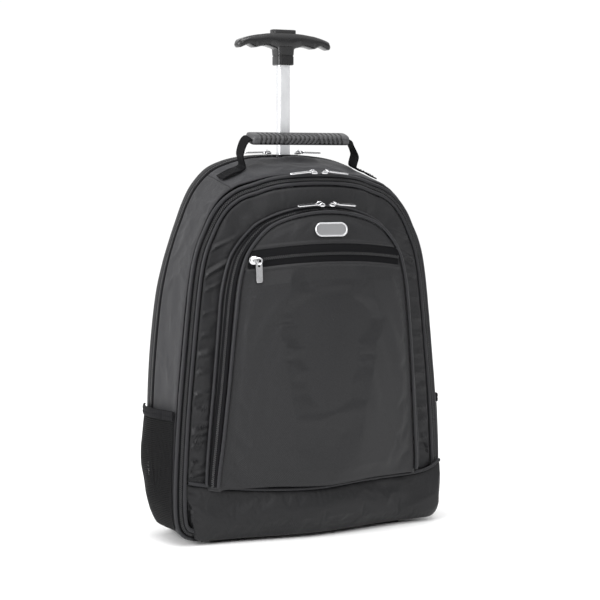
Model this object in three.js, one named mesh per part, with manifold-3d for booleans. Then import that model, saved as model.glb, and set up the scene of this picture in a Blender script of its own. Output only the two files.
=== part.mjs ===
// A wheeled backpack: a soft pack with a zipped main compartment, a domed front pocket, net side
// pockets, shoulder straps, a carrying grip, two wheels and a telescopic pulling handle.
// Millimetres. +X is to the right seen from the front, the front faces -Y, +Z is up.
import * as THREE from "three";
import { mergeVertices } from "three/addons/utils/BufferGeometryUtils.js";
import Module from "manifold-3d";

const wasm = await Module();
wasm.setup();

// Pack
const frontWidth = 379; // widest, across the front seam
const backWidth = 368; // widest, across the back seam
const backTop = 480; // top of the back seam above the ground
const frontTop = 455; // top of the front seam above the ground
const groundGap = 4; // underside of the pack above the ground
const packDepth = 112; // front reference plane to the back seam
const backBulge = 6; // how far the back panel stands behind the back seam
const seamBow = 16; // how far the front seam's middle stands ahead of its sides
const sideBelly = 3; // outward belly of the side and top panels
const clothWall = 2.5; // padded cloth
const gap = 0.3; // between two pieces that touch

// Main zip and its piping, on the chamfer between the front panel and the side panels
const zipInset = 15.5; // front panel's edge inside the outline
const zipSetback = 8; // side panels' front edge behind the front seam
const pipingRadius = 2.6;
const tapeThickness = 1.6;

// Rear zip
const rearZipFront = 86;
const rearZipBack = 96;
const rearZipProud = 1.2;

// Front panel, front boot and front pocket
const panelBulge = 6;
const bootSeamMiddle = 66; // height of the boot's top seam at its middle
const bootSeamEnds = 82; // and at its two ends
const bootBulge = 12;
const bootPipingRadius = 2.4;
const pocketBaseWidth = 300; // widest, where the pocket meets the front panel
const pocketFaceWidth = 276; // widest, round the pocket's face
const pocketBaseTop = 413;
const pocketFaceTop = 405;
const pocketDepth = 21; // pocket's side wall
const pocketSeat = 1.1; // clears the facets of the front panel
const pocketDome = 11; // extra depth at the middle of its face
const pocketPipingRadius = 2.2;
const faceZipHalf = 105; // half the length of the zip across the pocket's face
const faceZipDrop = 59; // its ends below the face's top
const faceZipEnds = pocketFaceTop - faceZipDrop;
const faceZipRise = 8; // how much higher its middle is
const faceZipTape = 13; // height of its tape
const faceZipThickness = 1.6;

// Label plate
const labelWidth = 45;
const labelHeight = 17.5;
const labelThickness = 2;
const labelDrop = 19; // its middle below the pocket face's top
const labelUp = pocketFaceTop - labelDrop;

// Zip sliders and pulls
const sliderLength = 9;
const sliderWidth = 7.5;
const sliderThickness = 4;
const pullLength = 30;
const pullWidth = 6.4;
const facePullLength = 25; // the pull that hangs from the face's zip
const facePullWidth = 7.4;
const pullThickness = 1.6;
const pullHole = 1.6; // radius of the hole at a pull's end

// Net side pockets
const netTop = 152; // upper edge of the net
const netBottom = 26;
const netFront = 16; // distance behind the front reference plane
const netBack = 108;
const netBulge = 12;
const netThickness = 1;
const netColumns = 5;
const netRows = 6;
const netHoleShare = 0.6; // width of a gap as a share of its cell
const elasticHeight = 13;
const elasticThickness = 2.2;

// Carrying grip
const gripLength = 140;
const gripWidth = 25;
const gripHeight = 13;
const gripUp = 498.5; // its middle above the ground
const gripLean = 17; // degrees forwards
const gripDepth = 49; // middle of the grip behind the front reference plane
const webHalf = 9.5; // half the width of its webbing
const webMid = 1; // half the thickness of its webbing

// Telescopic handle
const poleDepth = 91; // middle of the tubes behind the front reference plane
const poleWidth = 16;
const poleThick = 11;
const tubeWall = 1.2;
const tubeStep = 3.4; // each outer tube is wider than the next by this
const outerTubeBottom = groundGap + clothWall + gap; // stands on the base panel
const outerTubeTop = 474;
const middleTubeBottom = 40;
const poleBottom = 160;
const collarHeight = 18;
const collarWidth = 20;
const collarThick = 20;
const teeWidth = 135;
const teeTop = 634;
const teeHeight = 23;
const collarBottom = teeTop - teeHeight - collarHeight;
const teeThick = 21;
const buttonWidth = 34;
const buttonThick = 12;
const buttonProud = 4.5;
const buttonDepth = 6; // part of the button inside the tee at rest
const buttonTravel = 3.5;
const bezelWall = 4;
const bezelHeight = 32;
const bezelProud = 1.5; // above the pack's top

// Wheels and skid
const wheelRadius = 28;
const wheelWidth = 22;
const wheelSpread = 135; // middle of each wheel from the pack's middle
const wheelDepth = 103; // axle behind the front reference plane
const tyreThickness = 5;
const axleRadius = 3;
const boreClearance = 0.35;
const wheelClearance = 2.5;
const housingWall = 2.5;
const skidLength = 270;
const skidWidth = 20;
const skidDepth = 30; // its middle behind the front reference plane

// Shoulder straps
const strapWidth = 62;
const strapThickness = 11;
const strapTopSpread = 48; // middle of a strap's top end from the pack's middle
const strapTopUp = 432;
const strapPadEnd = 168; // height where the padding ends
const strapPadEndSpread = 98;
const strapStandoff = 22; // how far the strap bows away from the back
const webWidth = 25;
const webThickness = 2;
const webSeat = 2.2; // clears the back shell, as the webbing comes in at an angle
const webFootSpread = 150;
const webFootUp = 92;
const buckleWidth = 34;
const buckleHeight = 22;
const buckleThickness = 4.5;

// Colours
const cloth = { color: 0x242427, roughness: 0.75, metalness: 0 };
const sideCloth = { color: 0x2c2c2f, roughness: 0.72, metalness: 0 };
const trim = { color: 0x1b1b1d, roughness: 0.7, metalness: 0 };
const rubber = { color: 0x2b2b2d, roughness: 0.6, metalness: 0 };
const blackPlastic = { color: 0x2a2a2c, roughness: 0.5, metalness: 0 };
const aluminium = { color: 0xd9d9db, roughness: 0.3, metalness: 0.9 };
const nickel = { color: 0xc6c6c8, roughness: 0.25, metalness: 1 };
const tyreRubber = { color: 0x1c1c1e, roughness: 0.85, metalness: 0 };

// The front and back outlines, from the bottom's middle round one side to the top's middle. Each row
// holds shares of half the width and of the height, for the front seam and for the back seam.
const outlineRows = [
  { frontAcross: 0, frontUp: 0, backAcross: 0, backUp: 0 },
  { frontAcross: 0.42, frontUp: 0, backAcross: 0.42, backUp: 0 },
  { frontAcross: 0.77, frontUp: 0.001, backAcross: 0.76, backUp: 0 },
  { frontAcross: 0.9, frontUp: 0.009, backAcross: 0.87, backUp: 0.009 },
  { frontAcross: 0.966, frontUp: 0.029, backAcross: 0.92, backUp: 0.026 },
  { frontAcross: 0.995, frontUp: 0.067, backAcross: 0.95, backUp: 0.06 },
  { frontAcross: 1, frontUp: 0.14, backAcross: 0.978, backUp: 0.13 },
  { frontAcross: 0.99, frontUp: 0.24, backAcross: 1, backUp: 0.24 },
  { frontAcross: 0.968, frontUp: 0.375, backAcross: 0.997, backUp: 0.37 },
  { frontAcross: 0.935, frontUp: 0.52, backAcross: 0.975, backUp: 0.5 },
  { frontAcross: 0.903, frontUp: 0.65, backAcross: 0.935, backUp: 0.625 },
  { frontAcross: 0.874, frontUp: 0.74, backAcross: 0.886, backUp: 0.705 },
  { frontAcross: 0.838, frontUp: 0.8, backAcross: 0.832, backUp: 0.77 },
  { frontAcross: 0.785, frontUp: 0.851, backAcross: 0.785, backUp: 0.82 },
  { frontAcross: 0.732, frontUp: 0.893, backAcross: 0.731, backUp: 0.873 },
  { frontAcross: 0.658, frontUp: 0.93, backAcross: 0.666, backUp: 0.918 },
  { frontAcross: 0.56, frontUp: 0.958, backAcross: 0.565, backUp: 0.959 },
  { frontAcross: 0.45, frontUp: 0.974, backAcross: 0.455, backUp: 0.98 },
  { frontAcross: 0.32, frontUp: 0.99, backAcross: 0.32, backUp: 0.993 },
  { frontAcross: 0.16, frontUp: 0.998, backAcross: 0.16, backUp: 0.999 },
  { frontAcross: 0, frontUp: 1, backAcross: 0, backUp: 1 },
];

// The front pocket's outline, in the same way, at the front panel and round its face. The rise is the
// share of the pocket's depth that its side wall has there.
const pocketRows = [
  { baseAcross: 0, baseUp: 0, faceAcross: 0, faceUp: 0, rise: 0.72 },
  { baseAcross: 0.5, baseUp: 0, faceAcross: 0.5, faceUp: 0, rise: 0.72 },
  { baseAcross: 0.93, baseUp: 0, faceAcross: 0.93, faceUp: 0, rise: 0.72 },
  { baseAcross: 1, baseUp: 0.01, faceAcross: 1, faceUp: 0.01, rise: 0.74 },
  { baseAcross: 0.978, baseUp: 0.205, faceAcross: 0.96, faceUp: 0.195, rise: 0.9 },
  { baseAcross: 0.944, baseUp: 0.36, faceAcross: 0.92, faceUp: 0.375, rise: 1 },
  { baseAcross: 0.913, baseUp: 0.519, faceAcross: 0.884, faceUp: 0.537, rise: 1 },
  { baseAcross: 0.886, baseUp: 0.666, faceAcross: 0.848, faceUp: 0.675, rise: 1 },
  { baseAcross: 0.86, baseUp: 0.733, faceAcross: 0.825, faceUp: 0.75, rise: 1 },
  { baseAcross: 0.824, baseUp: 0.792, faceAcross: 0.79, faceUp: 0.813, rise: 1 },
  { baseAcross: 0.786, baseUp: 0.833, faceAcross: 0.752, faceUp: 0.853, rise: 1 },
  { baseAcross: 0.72, baseUp: 0.874, faceAcross: 0.69, faceUp: 0.892, rise: 1 },
  { baseAcross: 0.646, baseUp: 0.909, faceAcross: 0.61, faceUp: 0.928, rise: 1 },
  { baseAcross: 0.56, baseUp: 0.941, faceAcross: 0.51, faceUp: 0.957, rise: 0.98 },
  { baseAcross: 0.39, baseUp: 0.974, faceAcross: 0.36, faceUp: 0.98, rise: 0.95 },
  { baseAcross: 0.2, baseUp: 0.994, faceAcross: 0.18, faceUp: 0.995, rise: 0.92 },
  { baseAcross: 0, baseUp: 1, faceAcross: 0, faceUp: 1, rise: 0.92 },
];

// The boot's lower edge from its middle to one end: share of half its width, and height as a share
// of the way from the ground gap to the seam's ends.
const bootRows = [
  { across: 0, foot: 0 },
  { across: 0.25, foot: 0 },
  { across: 0.48, foot: 0 },
  { across: 0.68, foot: 0 },
  { across: 0.84, foot: 0.01 },
  { across: 0.9, foot: 0.05 },
  { across: 0.918, foot: 0.18 },
  { across: 0.932, foot: 0.27 },
  { across: 0.962, foot: 0.32 },
  { across: 0.984, foot: 0.39 },
  { across: 0.995, foot: 0.5 },
  { across: 1, foot: 0.64 },
];

// The tee of the pulling handle from its middle to one end: share of half its width, drop of its top
// and of its underside below the tee's top in shares of its height, and thickness share.
const teeRows = [
  { across: 0, top: 0, under: 1, thick: 1 },
  { across: 0.13, top: 0.01, under: 1, thick: 1 },
  { across: 0.22, top: 0.02, under: 0.84, thick: 0.98 },
  { across: 0.38, top: 0.05, under: 0.72, thick: 0.95 },
  { across: 0.5, top: 0.1, under: 0.76, thick: 0.93 },
  { across: 0.63, top: 0.15, under: 0.86, thick: 0.92 },
  { across: 0.76, top: 0.24, under: 0.67, thick: 0.9 },
  { across: 0.86, top: 0.33, under: 0.78, thick: 0.88 },
  { across: 0.95, top: 0.44, under: 0.9, thick: 0.82 },
  { across: 1, top: 0.56, under: 0.84, thick: 0.5 },
];

const share = (value, from, to) =>
  THREE.MathUtils.clamp((value - from) / (to - from), 0, 1);
const mix = THREE.MathUtils.lerp;
const vec = (x, y, z) => new THREE.Vector3(x, y, z);

// Turns the faces round if they point inwards.
function facingOut(points, faces) {
  const signed = (a, b, c) => points[a].dot(vec(0, 0, 0).crossVectors(points[b], points[c]));
  let volume = 0;
  for (let i = 0; i < faces.length; i += 3) {
    volume += signed(faces[i], faces[i + 1], faces[i + 2]);
  }
  if (volume < 0) faces.reverse();
  const geometry = new THREE.BufferGeometry().setFromPoints(points);
  geometry.setIndex(faces);
  return geometry;
}

// Joins loops that each hold as many points into one closed skin, with a fan over each end.
function loft(loops) {
  const count = loops[0].length;
  const points = loops.flat();
  const faces = [];
  for (let i = 0; i < loops.length - 1; i++) {
    const near = i * count;
    const far = (i + 1) * count;
    for (let j = 0; j < count; j++) {
      const k = (j + 1) % count;
      faces.push(near + j, far + j, far + k, near + j, far + k, near + k);
    }
  }
  const last = (loops.length - 1) * count;
  for (const start of [0, last]) {
    const middle = points.length;
    const sum = loops[start ? loops.length - 1 : 0].reduce((s, p) => s.add(p), vec(0, 0, 0));
    points.push(sum.divideScalar(count));
    for (let j = 0; j < count; j++) {
      const k = (j + 1) % count;
      if (start) faces.push(start + k, start + j, middle);
      else faces.push(start + j, start + k, middle);
    }
  }
  return facingOut(points, faces);
}

// A sheet with a thickness, from the grid of its outer side and the grid of its inner side. With a
// hole share, each cell of the grids has a gap cut through it.
function slab(outer, inner, holeShare = 0) {
  const rows = outer.length;
  const columns = outer[0].length;
  const points = [...outer.flat(), ...inner.flat()];
  const faces = [];
  const at = (side, i, j) => side * rows * columns + i * columns + j;
  const quad = (a, b, c, d) => faces.push(a, b, c, a, c, d);
  const corner = (middle, index) => {
    points.push(points[index].clone().lerp(middle, 1 - holeShare));
    return points.length - 1;
  };
  for (let i = 0; i < rows - 1; i++) {
    for (let j = 0; j < columns - 1; j++) {
      const cells = [0, 1].map((side) => [
        at(side, i, j),
        at(side, i + 1, j),
        at(side, i + 1, j + 1),
        at(side, i, j + 1),
      ]);
      if (!holeShare) {
        quad(...cells[0]);
        quad(...cells[1].toReversed());
        continue;
      }
      const holes = cells.map((cell) => {
        const middle = cell.reduce((s, p) => s.add(points[p]), vec(0, 0, 0)).divideScalar(4);
        return cell.map((index) => corner(middle, index));
      });
      for (let k = 0; k < 4; k++) {
        const n = (k + 1) % 4;
        quad(cells[0][k], cells[0][n], holes[0][n], holes[0][k]);
        quad(cells[1][n], cells[1][k], holes[1][k], holes[1][n]);
        quad(holes[0][k], holes[0][n], holes[1][n], holes[1][k]);
      }
    }
  }
  for (let i = 0; i < rows - 1; i++) {
    const last = columns - 1;
    quad(at(0, i + 1, 0), at(0, i, 0), at(1, i, 0), at(1, i + 1, 0));
    quad(at(0, i, last), at(0, i + 1, last), at(1, i + 1, last), at(1, i, last));
  }
  for (let j = 0; j < columns - 1; j++) {
    const last = rows - 1;
    quad(at(0, 0, j), at(0, 0, j + 1), at(1, 0, j + 1), at(1, 0, j));
    quad(at(0, last, j + 1), at(0, last, j), at(1, last, j), at(1, last, j + 1));
  }
  return facingOut(points, faces);
}

// Booleans
function solidOf(geometry) {
  const bare = new THREE.BufferGeometry();
  bare.setAttribute("position", geometry.getAttribute("position"));
  if (geometry.index) bare.setIndex(geometry.index);
  const merged = mergeVertices(bare, 1e-4);
  return new wasm.Manifold(
    new wasm.Mesh({
      numProp: 3,
      vertProperties: new Float32Array(merged.attributes.position.array),
      triVerts: new Uint32Array(merged.index.array),
    }),
  );
}

function geometryOf(solid) {
  const mesh = solid.getMesh();
  const geometry = new THREE.BufferGeometry();
  geometry.setAttribute("position", new THREE.BufferAttribute(mesh.vertProperties, 3));
  geometry.setIndex(new THREE.BufferAttribute(mesh.triVerts, 1));
  return geometry;
}

const cut = (geometry, ...tools) =>
  geometryOf(tools.reduce((solid, tool) => solid.subtract(solidOf(tool)), solidOf(geometry)));
const join = (first, ...others) =>
  geometryOf(others.reduce((solid, other) => solid.add(solidOf(other)), solidOf(first)));

function boxBetween(low, high) {
  const size = high.clone().sub(low);
  const middle = low.clone().add(high).multiplyScalar(0.5);
  return new THREE.BoxGeometry(size.x, size.y, size.z).translate(middle.x, middle.y, middle.z);
}

// Surfaces of the pack
const ringPoints = 2 * (outlineRows.length - 1);

// A closed curve in the XZ plane through rows of (across, up) and their mirror images.
function closedCurve(points) {
  const left = points
    .slice(1, -1)
    .reverse()
    .map((p) => vec(-p.x, 0, p.z));
  return new THREE.CatmullRomCurve3([...points, ...left], true, "catmullrom", 0.5);
}

const frontCurve = closedCurve(
  outlineRows.map((row) =>
    vec((row.frontAcross * frontWidth) / 2, 0, mix(groundGap, frontTop, row.frontUp)),
  ),
);
const backCurve = closedCurve(
  outlineRows.map((row) =>
    vec((row.backAcross * backWidth) / 2, 0, mix(groundGap, backTop, row.backUp)),
  ),
);

// Depth of the front seam: its middle is bowed ahead of its sides.
const seamFlat = 0.75; // share of the half width where the bow ends
function seamY(x) {
  const across = Math.min(1, Math.abs((2 * x) / frontWidth) / seamFlat);
  return seamBow * (Math.sin((Math.PI / 2) * across) ** 2 - 0.5);
}

// A point of the pack's skin: a place along the outline, a depth, and how far inside the outline.
function skinPoint(place, y, inset) {
  const t = THREE.MathUtils.euclideanModulo(place, 1);
  const v = share(y, 0, packDepth);
  const point = frontCurve.getPoint(t).lerp(backCurve.getPoint(t), v);
  const along = frontCurve.getTangent(t).lerp(backCurve.getTangent(t), v).normalize();
  const belly = sideBelly * Math.min(1, 1 - along.x); // none under the base
  const outward = belly * Math.sin(Math.PI * v) - inset;
  return vec(point.x + along.z * outward, y, point.z - along.x * outward);
}

// The front panel's outer face, and the boot's and pocket's faces ahead of it.
const panelMiddle = (groundGap + frontTop) / 2;
function panelY(x, z) {
  const across = Math.max(0, 1 - ((2 * x) / frontWidth) ** 2);
  const up = Math.max(0, 1 - ((z - panelMiddle) / (frontTop - panelMiddle)) ** 2);
  return seamY(x) - panelBulge * across * up;
}

const seamHalf = frontWidth / 2 - zipInset; // where the boot's top seam meets the main zip
const bootSeamZ = (x) => mix(bootSeamMiddle, bootSeamEnds, Math.abs(x / seamHalf) ** 2.4);

const pocketMiddle = mix(bootSeamMiddle, pocketFaceTop, 0.62);
function pocketFaceY(x, z, rise) {
  const across = Math.max(0, 1 - ((2 * x) / pocketFaceWidth) ** 2);
  const reach = z > pocketMiddle ? pocketFaceTop - pocketMiddle : pocketMiddle - bootSeamMiddle;
  const up = Math.max(0, 1 - ((z - pocketMiddle) / reach) ** 2);
  return panelY(x, z) - pocketSeat - pocketDepth * rise - pocketDome * across * up;
}

// Parameter steps
const steps = (from, to, count) =>
  Array.from({ length: count + 1 }, (_, i) => mix(from, to, i / count));
const around = (count) => Array.from({ length: count }, (_, i) => i / count);

// The parameter at which the pack's outline, right side, first reaches a share of its rows.
const rowParameter = (row) => row / ringPoints;

// Moves a parameter along the outline by a length.
function shifted(t, length) {
  const small = 1e-4;
  const speed = frontCurve.getPoint(t + small).distanceTo(frontCurve.getPoint(t - small)) / (2 * small);
  return t + length / speed;
}

// A stretch of the band between the front seam and the rear zip, as a wall of cloth.
function bandPanel(from, to, backEdge = rearZipFront - gap) {
  const across = 3;
  const first = Math.floor(from * ringPoints) + 1;
  const last = Math.ceil(to * ringPoints) - 1;
  const places = [
    shifted(from, gap / 2),
    ...Array.from({ length: last - first + 1 }, (_, i) => (first + i) / ringPoints),
    shifted(to, -gap / 2),
  ];
  const grid = (inset) =>
    places.map((t) => {
      const front = seamY(frontCurve.getPoint(t).x) + zipSetback + gap;
      return steps(front, backEdge, across).map((y) => skinPoint(t, y, inset));
    });
  return slab(grid(0), grid(clothWall));
}

// Bead with a round section carried along points, each with the two directions of its section.
function bead(places, radius, sides = 5) {
  const loops = places.map(({ middle, a, b }) =>
    around(sides).map((s) => {
      const angle = 2 * Math.PI * s;
      return middle
        .clone()
        .addScaledVector(a, radius * Math.cos(angle))
        .addScaledVector(b, radius * Math.sin(angle));
    }),
  );
  return loft(loops);
}

// Outward direction of the outline in the XZ plane.
function outwardAt(t) {
  const along = frontCurve.getTangent(t);
  return vec(along.z, 0, -along.x);
}

const forward = vec(0, -1, 0);

const pack = new THREE.Group();
const trolley = new THREE.Group();
const wheels = new THREE.Group();
pack.add(trolley, wheels);

function add(name, geometry, finish, parent = pack) {
  const mesh = new THREE.Mesh(geometry, new THREE.MeshStandardMaterial({ name, ...finish }));
  mesh.name = name;
  parent.add(mesh);
  return mesh;
}

// Side, top and base panels
const cornerRow = 3; // where the base meets a side panel
const shoulderRow = 15.75; // where a side panel meets the top panel
const tubeSize = (step) => ({ x: poleWidth + step * tubeStep, y: poleThick + step * tubeStep });
const outerTube = tubeSize(2);
const bezelHoleX = outerTube.x / 2 + bezelWall + gap;
const bezelHoleY = outerTube.y / 2 + bezelWall + gap;
const beyond = 60; // how far a cutting box reaches past what it cuts
const bezelHole = boxBetween(
  vec(-bezelHoleX, poleDepth - bezelHoleY, outerTubeTop - beyond),
  vec(bezelHoleX, poleDepth + bezelHoleY, backTop + beyond),
);

// A wheel well's outer size, and the room that it takes out of the pack.
const wellHalf = wheelWidth / 2 + wheelClearance + housingWall;
const wellFront = wheelDepth - wheelRadius - wheelClearance - housingWall;
const wellTop = 2 * wheelRadius + wheelClearance + housingWall;
const wellBack = packDepth + backBulge + 3;
const wellRoom = (side) =>
  boxBetween(
    vec(side * wheelSpread - wellHalf - gap, wellFront - gap, -beyond),
    vec(side * wheelSpread + wellHalf + gap, wellBack + beyond, wellTop + gap),
  );

function addBandPanels() {
  const right = [rowParameter(cornerRow), rowParameter(shoulderRow)];
  const left = [1 - right[1], 1 - right[0]];
  add("side_panel_right", bandPanel(...right), sideCloth);
  add("side_panel_left", bandPanel(...left), sideCloth);
  add("top_panel", cut(bandPanel(right[1], left[0]), bezelHole), cloth);
  const base = bandPanel(-right[0], right[0], rearZipBack);
  add("base_panel", cut(base, wellRoom(1), wellRoom(-1)), trim);
}

// Main zip: an outer piping, the zip's tape with its coil, and an inner piping, from one lower
// corner over the top to the other
const zipRow = 3; // where it starts
function addMainZip() {
  const ring = steps(rowParameter(zipRow), 1 - rowParameter(zipRow), ringPoints - 2 * zipRow).map(
    (t) => {
      const edge = skinPoint(t, 0, 0);
      return { edge, out: outwardAt(t), seam: seamY(edge.x) };
    },
  );
  const place = (r, inset, setback) =>
    vec(r.edge.x - r.out.x * inset, r.seam + setback, r.edge.z - r.out.z * inset);
  const piping = (inset, setback) =>
    bead(
      ring.map((r) => ({ middle: place(r, inset, setback), a: r.out, b: forward })),
      pipingRadius,
    );
  add("main_piping_outer", piping(pipingRadius, zipSetback - pipingRadius), trim);
  add("main_piping_inner", piping(zipInset - pipingRadius - gap, 0.6), trim);
  const outerEdge = 2 * pipingRadius + gap;
  const innerEdge = zipInset - 2 * pipingRadius - 2 * gap;
  const middle = (outerEdge + innerEdge) / 2;
  const section = [
    [outerEdge, zipSetback - pipingRadius - 1],
    [middle, 1.1],
    [innerEdge, 0.4],
    [innerEdge, 0.4 + tapeThickness],
    [outerEdge, zipSetback - pipingRadius - 1 + tapeThickness],
  ];
  const loops = ring.map((r) => section.map(([inset, setback]) => place(r, inset, setback)));
  add("main_zip_tape", loft(loops), trim);
}

// Rear zip, from the base up one side to the handle's bezel, and the same on the other side
function addRearZip() {
  const edges = [
    [rearZipFront, 0.4],
    [(rearZipFront + rearZipBack) / 2, -rearZipProud],
    [rearZipBack, 0.4],
  ];
  for (const side of [-1, 1]) {
    const loops = steps(shifted(rowParameter(cornerRow), gap / 2), 0.5, 18).map((place) => {
      const t = side > 0 ? place : 1 - place;
      return [
        ...edges.map(([y, inset]) => skinPoint(t, y, inset)),
        skinPoint(t, rearZipBack, clothWall),
        skinPoint(t, rearZipFront, clothWall),
      ];
    });
    add(side > 0 ? "rear_zip_right" : "rear_zip_left", cut(loft(loops), bezelHole), trim);
  }
}

// Back shell: a shallow bowl that closes the back, open to the front
function addBackShell() {
  const middle = vec(0, 0, (groundGap + backTop) / 2);
  const rim = rearZipBack + gap;
  const backFace = packDepth + backBulge;
  const profile = [
    { y: rim, inset: 0 },
    { y: packDepth - 2, inset: 0.8 },
    { y: backFace - 3, inset: 6 },
    { y: backFace, inset: 17 },
  ];
  const shrink = [0.5, 0.06];
  const places = around(ringPoints);
  const side = (inward) => {
    const edge = profile.map(({ y, inset }, i) =>
      places.map((t) => skinPoint(t, i ? y - inward : y, inset + inward)),
    );
    const last = edge.at(-1);
    const discs = shrink.map((s) =>
      last.map((p) => vec(p.x * s, p.y, mix(middle.z, p.z, s))),
    );
    return [...edge, ...discs];
  };
  const shell = loft([...side(0).reverse(), ...side(clothWall)]);
  add("back_shell", cut(shell, bezelHole, wellRoom(1), wellRoom(-1)), cloth);
}

const pocketCurve = (across, up, width, top) =>
  closedCurve(
    pocketRows.map((row) => {
      const x = (row[across] * width) / 2;
      return vec(x, 0, mix(bootSeamZ(x) + 3 * gap, top, row[up]));
    }),
  );
const pocketBase = pocketCurve("baseAcross", "baseUp", pocketBaseWidth, pocketBaseTop);
const pocketFace = pocketCurve("faceAcross", "faceUp", pocketFaceWidth, pocketFaceTop);
const pocketPoints = 2 * (pocketRows.length - 1);
const riseAt = (i) => pocketRows[Math.min(i, pocketPoints - i)].rise;

// Front panel: from the boot's seam up, inside the main zip
function addFrontPanel() {
  const rim = around(ringPoints).map((t) => {
    const point = skinPoint(t, 0, zipInset + gap);
    const low = bootSeamZ(point.x) + gap;
    const bound = seamHalf - 2 * gap;
    return point.z < low
      ? vec(THREE.MathUtils.clamp(point.x, -bound, bound), 0, low)
      : point;
  });
  // One loop follows the pocket's outline, so that the pocket sits close on the facets.
  const pocketLoop = (s) =>
    around(ringPoints).map((t) => {
      const point = pocketBase.getPoint(t);
      return vec(point.x * s, 0, mix(panelMiddle, point.z, s));
    });
  const loops = [pocketLoop(0.08), pocketLoop(0.6), pocketLoop(1), rim];
  const side = (inward) =>
    loops.map((loop) => loop.map((p) => vec(p.x, panelY(p.x, p.z) + inward, p.z)));
  add("front_panel", loft([...side(0), ...side(clothWall).reverse()]), cloth);
}

// Boot: the lower front, with piping along its top seam
const bootHalf = seamHalf - gap;
function bootY(x, up) {
  const across = Math.max(0, 1 - (x / bootHalf) ** 4);
  const face = seamY(x) - bootBulge * across * Math.sin(Math.PI * mix(0.12, 0.78, up));
  return face + 5 * (1 - share(up, 0, 0.2)) ** 2;
}
function addBoot() {
  const columns = [
    ...bootRows.slice(1).toReversed().map((row) => ({ ...row, side: -1 })),
    ...bootRows.map((row) => ({ ...row, side: 1 })),
  ];
  const grid = (inward) =>
    columns.map((row) => {
      const x = row.side * row.across * bootHalf;
      const foot = mix(groundGap + 1, bootSeamEnds, row.foot);
      const top = bootSeamZ(x) - 2 * bootPipingRadius - gap;
      return steps(0, 1, 4).map((up) => vec(x, bootY(x, up) + inward, mix(foot, top, up)));
    });
  add("front_boot", slab(grid(0), grid(clothWall)), cloth);
  const beads = steps(-bootHalf + 1, bootHalf - 1, 16).map((x) => ({
    middle: vec(x, bootY(x, 1) - 0.6, bootSeamZ(x) - bootPipingRadius),
    a: forward,
    b: vec(0, 0, 1),
  }));
  add("boot_piping", bead(beads, bootPipingRadius), trim);
}

// Front pocket: a domed face and a sloping side wall, open to the front panel behind it
function addPocket() {
  const index = Array.from({ length: pocketPoints }, (_, i) => i);
  const middle = vec(0, 0, pocketMiddle);
  const towards = (point, s) => vec(point.x * s, 0, mix(middle.z, point.z, s));
  const ring = (place, depth) =>
    index.map((i) => {
      const point = place(i / pocketPoints);
      return vec(point.x, depth(point, riseAt(i)), point.z);
    });
  const face = (s, inward) =>
    ring(
      (t) => towards(pocketFace.getPoint(t), s),
      (p, rise) => pocketFaceY(p.x, p.z, rise) + inward,
    );
  const thin = 1 - (2 * clothWall) / pocketBaseWidth;
  const base = (s) =>
    ring(
      (t) => towards(pocketBase.getPoint(t), s),
      (p) => panelY(p.x, p.z) - pocketSeat,
    );
  const shell = loft([
    ...[0.08, 0.45, 0.78, 1].map((s) => face(s, 0)),
    base(1),
    base(thin),
    ...[thin, 0.78, 0.45, 0.08].map((s) => face(s, clothWall)),
  ]);
  add("pocket_shell", shell, cloth);
}

// Places along the pocket's side wall, from one lower end over the top to the other.
function pocketWall(down) {
  const first = 3;
  const count = pocketPoints - 2 * first;
  return steps(0, count, count).map((n) => {
    const i = first + n;
    const t = i / pocketPoints;
    const base = pocketBase.getPoint(t);
    const face = pocketFace.getPoint(t);
    const low = vec(base.x, panelY(base.x, base.z) - pocketSeat, base.z);
    const high = vec(face.x, pocketFaceY(face.x, face.z, riseAt(i)), face.z);
    const slope = low.clone().sub(high).normalize();
    const along = pocketFace.getTangent(t);
    const out = vec(0, 0, 0).crossVectors(slope, along).normalize();
    const length = low.distanceTo(high);
    return { middle: high.clone().addScaledVector(slope, length * down), a: out, b: slope, length };
  });
}

function addPocketZip() {
  const lifted = (places, lift) =>
    places.map((p) => ({ ...p, middle: p.middle.clone().addScaledVector(p.a, lift) }));
  const clear = pocketPipingRadius + gap + 0.25;
  add("pocket_piping_face", bead(lifted(pocketWall(0.06), clear), pocketPipingRadius), trim);
  add("pocket_piping_base", bead(lifted(pocketWall(0.86), clear), pocketPipingRadius), trim);
  const half = 3.4;
  const section = [
    [-half, 0],
    [0, 1.6],
    [half, 0],
    [half, -tapeThickness],
    [-half, -tapeThickness],
  ];
  const rest = tapeThickness + gap + 0.55;
  const loops = pocketWall(0.46).map((p) =>
    section.map(([down, lift]) =>
      p.middle.clone().addScaledVector(p.b, down).addScaledVector(p.a, lift + rest),
    ),
  );
  add("pocket_zip_tape", loft(loops), trim);
}

// Zip across the pocket's face
const faceZipZ = (x) => faceZipEnds + faceZipRise * (1 - (x / faceZipHalf) ** 2);
const pocketSurface = (x, z) => pocketFaceY(x, z, 1);
function addFaceZip() {
  const places = steps(-faceZipHalf, faceZipHalf, 12);
  const rows = [
    [-faceZipTape / 2, 0],
    [0, faceZipThickness * 0.7],
    [faceZipTape / 2, 0],
  ];
  const grid = (lift, ridge) =>
    places.map((x) =>
      rows.map(([up, proud]) => {
        const z = faceZipZ(x) + up;
        return vec(x, pocketSurface(x, z) - lift - ridge * proud, z);
      }),
    );
  const seat = 1.1; // clears the facets of the face behind it
  add("face_zip_tape", slab(grid(seat + faceZipThickness, 1), grid(seat, 0)), trim);
}

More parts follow.
